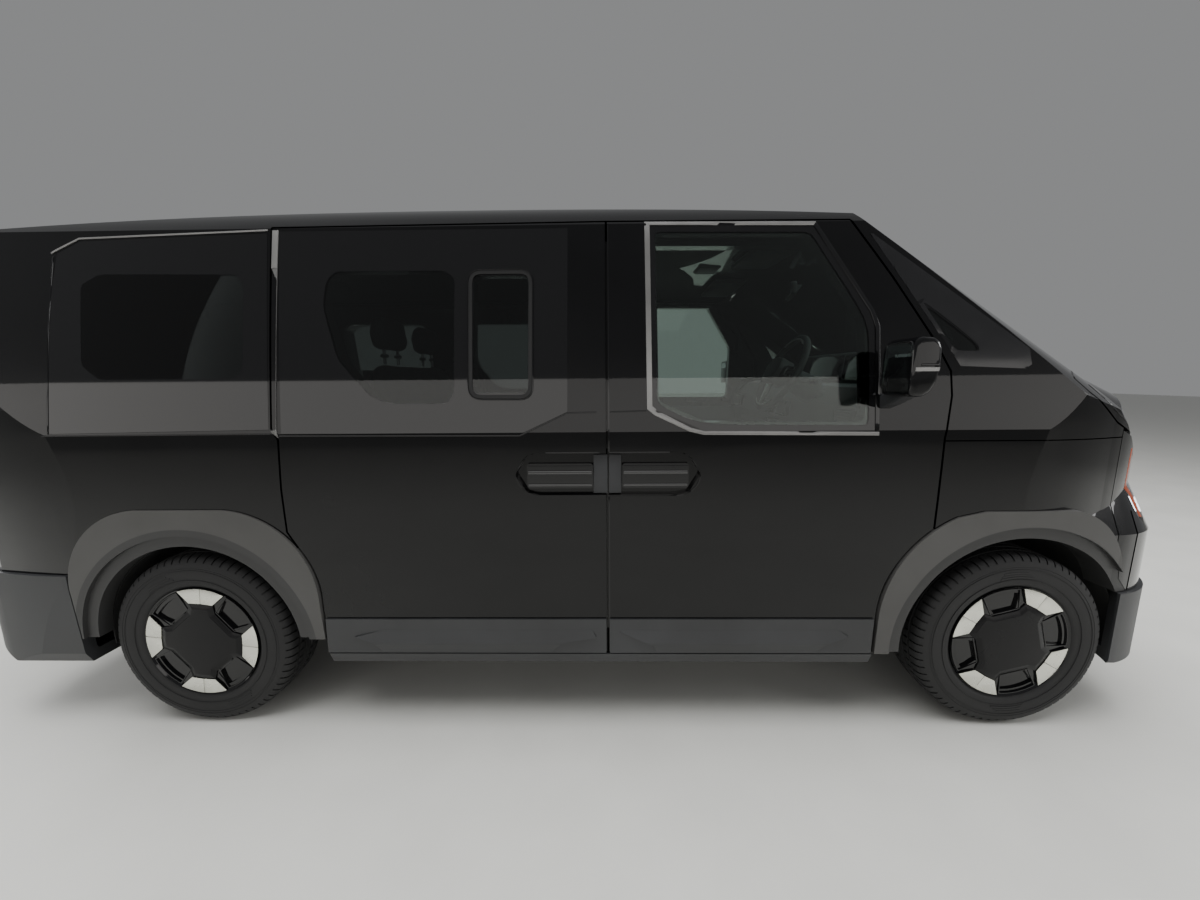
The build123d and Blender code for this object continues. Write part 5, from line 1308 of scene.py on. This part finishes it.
def make_plate(name, x, facing, half_width, low_z, high_z):
    """A bare registration plate with a pressed rim, on its holder."""
    line = round_line([(-half_width, low_z), (half_width, low_z), (half_width, high_z), (-half_width, high_z)],
                      0.010, 3)
    sheet = plate(name, [(x, y, z) for y, z in line], (facing * 0.0018, 0, 0))
    pick(sheet, lambda middle, normal: normal.x * facing > 0.9)
    inset(0.006, 0.0)
    inset(0.0015, -0.0010)
    to_object_mode()
    fit(smooth(sheet), "body", plate_face)
    holder = plate(f"{name}_holder", [(x, y * 1.02, (z - low_z) * 1.03 + low_z - 0.002) for y, z in line],
                   (-facing * 0.008, 0, 0), 0.002)
    screws = [drum("plate_screw", (x + facing * 0.0022, side * half_width * 0.62, high_z - 0.018), 0.006, 0.003, "X",
                   20) for side in (-1, 1)]
    fit(smooth(holder), "body", dark_plastic)
    fit(joined(f"{name}_screws", [smooth(rounded(screw, 0.001)) for screw in screws]), "body", satin_steel)


def make_wipers():
    skin = skin_of("windscreen", "cowl_panel")
    for number, (pivot, tip, heel) in enumerate((((1.790, -0.560), (1.716, 0.020), (1.722, -0.640)),
                                                 ((1.800, 0.110), (1.706, 0.640), (1.716, 0.080)))):
        across = Vector((tip[0] - heel[0], tip[1] - heel[1])).normalized()
        side = Vector((-across.y, across.x)) * 0.006
        blade = band("wiper_blade", [heel, tip], [(heel[0] + side.x, heel[1] + side.y),
                                                  (tip[0] + side.x, tip[1] + side.y)], "z")
        rubber_blade = laid(blade, skin, 0.013, "z", 0.0, 0.0015, 0.06)
        holder = band("wiper_holder", [(heel[0] - side.x * 0.4, heel[1]), (tip[0] - side.x * 0.4, tip[1])],
                      [(heel[0] + side.x * 1.5, heel[1]), (tip[0] + side.x * 1.5, tip[1])], "z")
        holder = laid(holder, skin, 0.016, "z", -0.010, 0.0015, 0.06)
        middle = ((heel[0] + tip[0]) / 2, (heel[1] + tip[1]) / 2)
        arm = band("wiper_arm", [(pivot[0] - 0.012, pivot[1]), (middle[0] - 0.006, middle[1])],
                   [(pivot[0] + 0.012, pivot[1] + 0.004), (middle[0] + 0.006, middle[1] + 0.004)], "z")
        arm = laid(arm, skin, 0.024, "z", -0.015, 0.002, 0.05)
        fit(joined(f"wiper_{number}", [rubber_blade, holder, arm]), "body", seal_rubber)
        cap = drum(f"wiper_pivot_{number}", (pivot[0], pivot[1], 1.352), 0.018, 0.040, "Z", 28, 0.014)
        fit(smooth(rounded(cap, 0.004, 3)), "body", dark_plastic)
    bpy.data.objects.remove(skin)


def make_tail():
    skin = skin_of("tail_lamps")
    for name, finish, shapes in (
            ("tail_light_guide", tail_guide, [(-0.804, -0.796, 0.880, 1.440), (-0.826, -0.804, 0.880, 0.888)]),
            ("tail_segments", tail_guide, [(-0.826, -0.809, 1.130 + 0.044 * k, 1.160 + 0.044 * k) for k in range(6)]),
            ("turn_segment", amber_lens, [(-0.832, -0.809, 1.030, 1.100)]),
            ("reverse_segment", lamp_module, [(-0.832, -0.809, 0.930, 1.000)])):
        parts = [laid(pane(name, [(low_y, low_z), (low_y, high_z), (high_y, high_z), (high_y, low_z)], "x", 0.03),
                      skin, -0.002, "x", 0.006) for low_y, high_y, low_z, high_z in shapes]
        fit_pair(joined(name, parts), name, side_bodies["body"], finish)
    bpy.data.objects.remove(skin)
    skin = skin_of("tailgate", "tailgate_glass")
    grip = round_line([(-0.170, 1.075), (-0.170, 1.115), (0.170, 1.115), (0.170, 1.075)], 0.012, 3)
    fit(laid(pane("tailgate_grip", grip, "x", 0.04), skin, 0.007, "x", 0.001, 0.002), "tailgate", gloss_trim)
    stop_line = round_line([(-0.200, 1.768), (-0.196, 1.786), (0.196, 1.786), (0.200, 1.768)], 0.006, 3)
    fit(laid(pane("high_stop_lamp", stop_line, "x", 0.04), skin, 0.003, "x", 0.001, 0.001), "tailgate", tail_guide)
    rim = round_line([(-0.618, 1.232), (-0.596, 1.688), (0.596, 1.688), (0.618, 1.232)], 0.050, 5)
    fit(frame_line("rear_glass_border", rim, 0.032, skin, 0.0006, "x", 0.0004), "tailgate", gloss_trim)
    wires = []
    for k in range(11):
        z = 1.300 + 0.032 * k
        wires.append(laid(band("heating_wire", [(-0.560, z), (0.560, z)], [(-0.560, z + 0.0016), (0.560, z + 0.0016)],
                               "x"), skin, 0.0003, "x", 0.0002, 0.0, 0.08))
    fit(joined("heating_wires", wires), "tailgate", printed_wire)
    blade = laid(band("rear_wiper", [(0.020, 1.262), (-0.360, 1.275)], [(0.020, 1.270), (-0.360, 1.283)], "x"), skin,
                 0.014, "x", 0.0, 0.002, 0.06)
    arm = laid(band("rear_wiper_arm", [(0.030, 1.238), (-0.190, 1.268)], [(0.030, 1.260), (-0.190, 1.276)], "x"),
               skin, 0.022, "x", -0.012, 0.003, 0.05)
    hub = spots("rear_wiper_hub", [(0.036, 1.249)], 0.022, "x", skin, 0.0, 0.024, 28, 0.004)
    fit(joined("rear_wiper", [blade, arm, hub]), "tailgate", seal_rubber)
    bpy.data.objects.remove(skin)
    skin = skin_of("rear_bumper")
    bar = round_line([(-0.735, 0.505), (-0.735, 0.530), (-0.585, 0.530), (-0.585, 0.505)], 0.008, 3)
    fit_pair(laid(pane("rear_reflector", bar, "x", 0.03), skin, 0.003, "x", 0.001, 0.001), "rear_reflector",
             side_bodies["body"], tail_guide)
    sensors = [(y, 0.440) for y in (-0.640, -0.360, 0.360, 0.640)]
    fit(spots("rear_sensors", sensors, 0.012, "x", skin, 0.002, 0.0012, bevel=0.0008), "body", dark_plastic)
    bpy.data.objects.remove(skin)
    make_plate("rear_plate", -2.3352, -1.0, 0.230, 0.416, 0.522)


def make_roof_lines():
    skin = skin_of("roof_panel")
    for number, y in enumerate((-0.600, 0.588)):
        bead = band("roof_channel", [(-2.020, y), (0.960, y)], [(-2.020, y + 0.012), (0.960, y + 0.012)], "z")
        fit(laid(bead, skin, 0.0028, "z", 0.0006, 0.001, 0.08), "body", seal_rubber)
    bpy.data.objects.remove(skin)


def make_underside():
    low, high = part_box("battery_pack")
    ribs, bolts = [], []
    count = 11
    for k in range(count):
        x = low[0] + 0.10 + (high[0] - low[0] - 0.23) * k / (count - 1)
        rib = plate("pack_rib", [(x + a, low[1] + 0.09, low[2] + b) for a, b in (
            (0.0, 0.004), (0.008, -0.007), (0.026, -0.007), (0.034, 0.004))], (0, high[1] - low[1] - 0.18, 0), 0.002)
        ribs.append(smooth(rib))
        for side in (low[1] + 0.035, high[1] - 0.035):
            bolts.append(drum("pack_bolt", (x, side, low[2] - 0.004), 0.0105, 0.014, "Z", 6))
    fit(joined("pack_ribs", ribs), "body", cast_case)
    fit(joined("pack_bolts", [rounded(bolt, 0.0015) for bolt in bolts]), "body", satin_steel)
    low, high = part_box("drive_unit")
    fins = []
    for k in range(9):
        y = -0.240 + 0.058 * k
        fin = plate("drive_fin", [(x, y, z) for x, z in (
            (low[0] + 0.03, low[2] + 0.002), (low[0] + 0.05, low[2] - 0.008), (high[0] - 0.05, low[2] - 0.008),
            (high[0] - 0.03, low[2] + 0.002))], (0, 0.008, 0), 0.002)
        fins.append(smooth(fin))
    fit(joined("drive_fins", fins), "body", cast_case)


make_camera()
make_stage()

black_paint = paint_finish()
cladding_plastic = grained("satin_cladding", (0.030, 0.031, 0.033), 0.48, grain=1400.0, strength=0.25)
gloss_trim = grained("gloss_black_trim", (0.004, 0.004, 0.0045), 0.06, grain=500.0, strength=0.02)
dark_plastic = grained("cabin_plastic", (0.028, 0.029, 0.031), 0.62, grain=1100.0, strength=0.4)
liner_felt = grained("liner_felt", (0.012, 0.012, 0.012), 0.95, grain=700.0, strength=0.6, distance=0.001)
chassis_paint = grained("chassis_paint", (0.012, 0.012, 0.013), 0.5, grain=300.0, strength=0.2)
cast_case = grained("cast_aluminium", (0.36, 0.37, 0.38), 0.42, grain=500.0, strength=0.4, Metallic=0.9)
cast_iron = grained("cast_iron", (0.10, 0.10, 0.105), 0.6, grain=400.0, strength=0.6, Metallic=0.7)
rubber = grained("tyre_rubber", (0.014, 0.014, 0.0145), 0.72, grain=900.0, strength=0.3)
seat_cloth = grained("seat_cloth", (0.035, 0.036, 0.039), 0.85, grain=1200.0, strength=0.7)
lamp_lens = glass_finish("lamp_lens", (0.9, 0.92, 0.95))
tail_lens = glass_finish("tail_lens", (0.35, 0.01, 0.012))
clear_glass = glass_finish("clear_glass", (0.86, 0.93, 0.9))
privacy_glass = glass_finish("privacy_glass", (0.3, 0.32, 0.33))
door_glass = glass_finish("door_glass", (0.80, 0.86, 0.83), opening=view_mask([shifted_line(door_window, 0.034)], 0.03))
sliding_glass = glass_finish("sliding_glass", (0.50, 0.53, 0.52), opening=view_mask([sliding_view, vent_view], 0.02))
quarter_glass = glass_finish("quarter_glass", (0.50, 0.53, 0.52), opening=view_mask([quarter_view, corner_view], 0.02))

finish_of_slot = {
    "body_paint": black_paint, "dark_cladding": cladding_plastic, "clear_glass": clear_glass,
    "privacy_glass": privacy_glass, "lamp_lens": lamp_lens, "tail_lens": tail_lens,
    "gloss_trim": gloss_trim, "liner": liner_felt, "frame_steel": chassis_paint,
    "battery_case": cast_case, "motor_case": cast_case, "knuckle_iron": cast_iron,
    "tyre_rubber": rubber, "wheel_finish": gloss_trim, "cabin_plastic": dark_plastic,
    "seat_fabric": seat_cloth,
}
for subpart in frame["record"]["subparts"]:
    dress([subpart["node"]], finish_of_slot[subpart["material_slot"]])

dress(["front_door_glass_right", "front_door_glass_left"], door_glass)
dress(["sliding_door_glass"], sliding_glass)
dress(["quarter_windows"], quarter_glass)
dress(["arch_flares"], flare_finish())
machined_face = machined_finish()
satin_trim = grained("satin_grey_trim", (0.24, 0.237, 0.233), 0.38, grain=700.0, strength=0.1, Metallic=0.55)
seal_rubber = grained("seal_rubber", (0.010, 0.010, 0.0105), 0.55, grain=900.0, strength=0.3)
pillar_gloss = grained("pillar_gloss_panel", (0.010, 0.010, 0.011), 0.16, grain=500.0, strength=0.02)
paddle_gloss = grained("paddle_gloss", (0.010, 0.010, 0.011), 0.05, grain=400.0, strength=0.01, Coat_Weight=1.0)
satin_cover = grained("satin_black_cover", (0.005, 0.005, 0.0055), 0.26, grain=900.0, strength=0.05,
                      Specular_IOR_Level=0.22)
seam_thread = grained("seam_thread", (0.10, 0.10, 0.105), 0.8, grain=2600.0, strength=0.8)
satin_steel = grained("satin_steel", (0.45, 0.45, 0.46), 0.32, grain=800.0, strength=0.1, Metallic=1.0)
stitched_hide = grained("soft_dash_skin", (0.045, 0.046, 0.050), 0.55, grain=420.0, strength=0.6, distance=0.0005)
screen_glass = grained("screen_glass", (0.004, 0.004, 0.005), 0.07, grain=300.0, strength=0.01, Coat_Weight=1.0)
mirror_glass = grained("mirror_glass", (0.80, 0.82, 0.84), 0.02, grain=300.0, strength=0.004, shade=0.02, Metallic=1.0)
amber_lens = grained("amber_lens", (0.42, 0.07, 0.018), 0.12, grain=260.0, strength=0.25, distance=0.0006)
tail_guide = grained("red_lens", (0.34, 0.008, 0.010), 0.12, grain=260.0, strength=0.25, distance=0.0006)
lamp_module = grained("clear_lamp_optic", (0.72, 0.74, 0.76), 0.10, grain=260.0, strength=0.35, distance=0.0006)
plate_face = grained("bare_plate", (0.72, 0.73, 0.72), 0.42, grain=500.0, strength=0.05, shade=0.03)
printed_wire = grained("printed_wire", (0.10, 0.045, 0.020), 0.5, grain=900.0, strength=0.1)

fit_wheels(make_tyre(), "tyre_tread", rubber, replaced="tyre")
fit_wheels(make_cover_plate(), "cover_plate", satin_cover)
fit_wheels(make_rim_segments(), "rim_segments", machined_face)
fit_wheels(make_cover_depth(), "cover_depth", gloss_trim)
fit_wheels(make_valve_and_beads(), "sidewall_marks", rubber)

right_skin = skin_of("front_door_right", "front_door_glass_right", "sliding_door_right", "sliding_door_glass",
                     "quarter_windows", "bodyside_right", "front_fenders", "nose_panel", "front_door_handle_right",
                     "sliding_door_handles")
make_side_trim(right_skin)
make_handles(right_skin)
bpy.data.objects.remove(right_skin)
make_door_mirror()
make_seats()
make_steering_wheel()
make_dashboard()
make_roof_lining()
make_door_cards()
make_front_lamps()
make_nose()
make_wipers()
make_tail()
make_roof_lines()
make_underside()
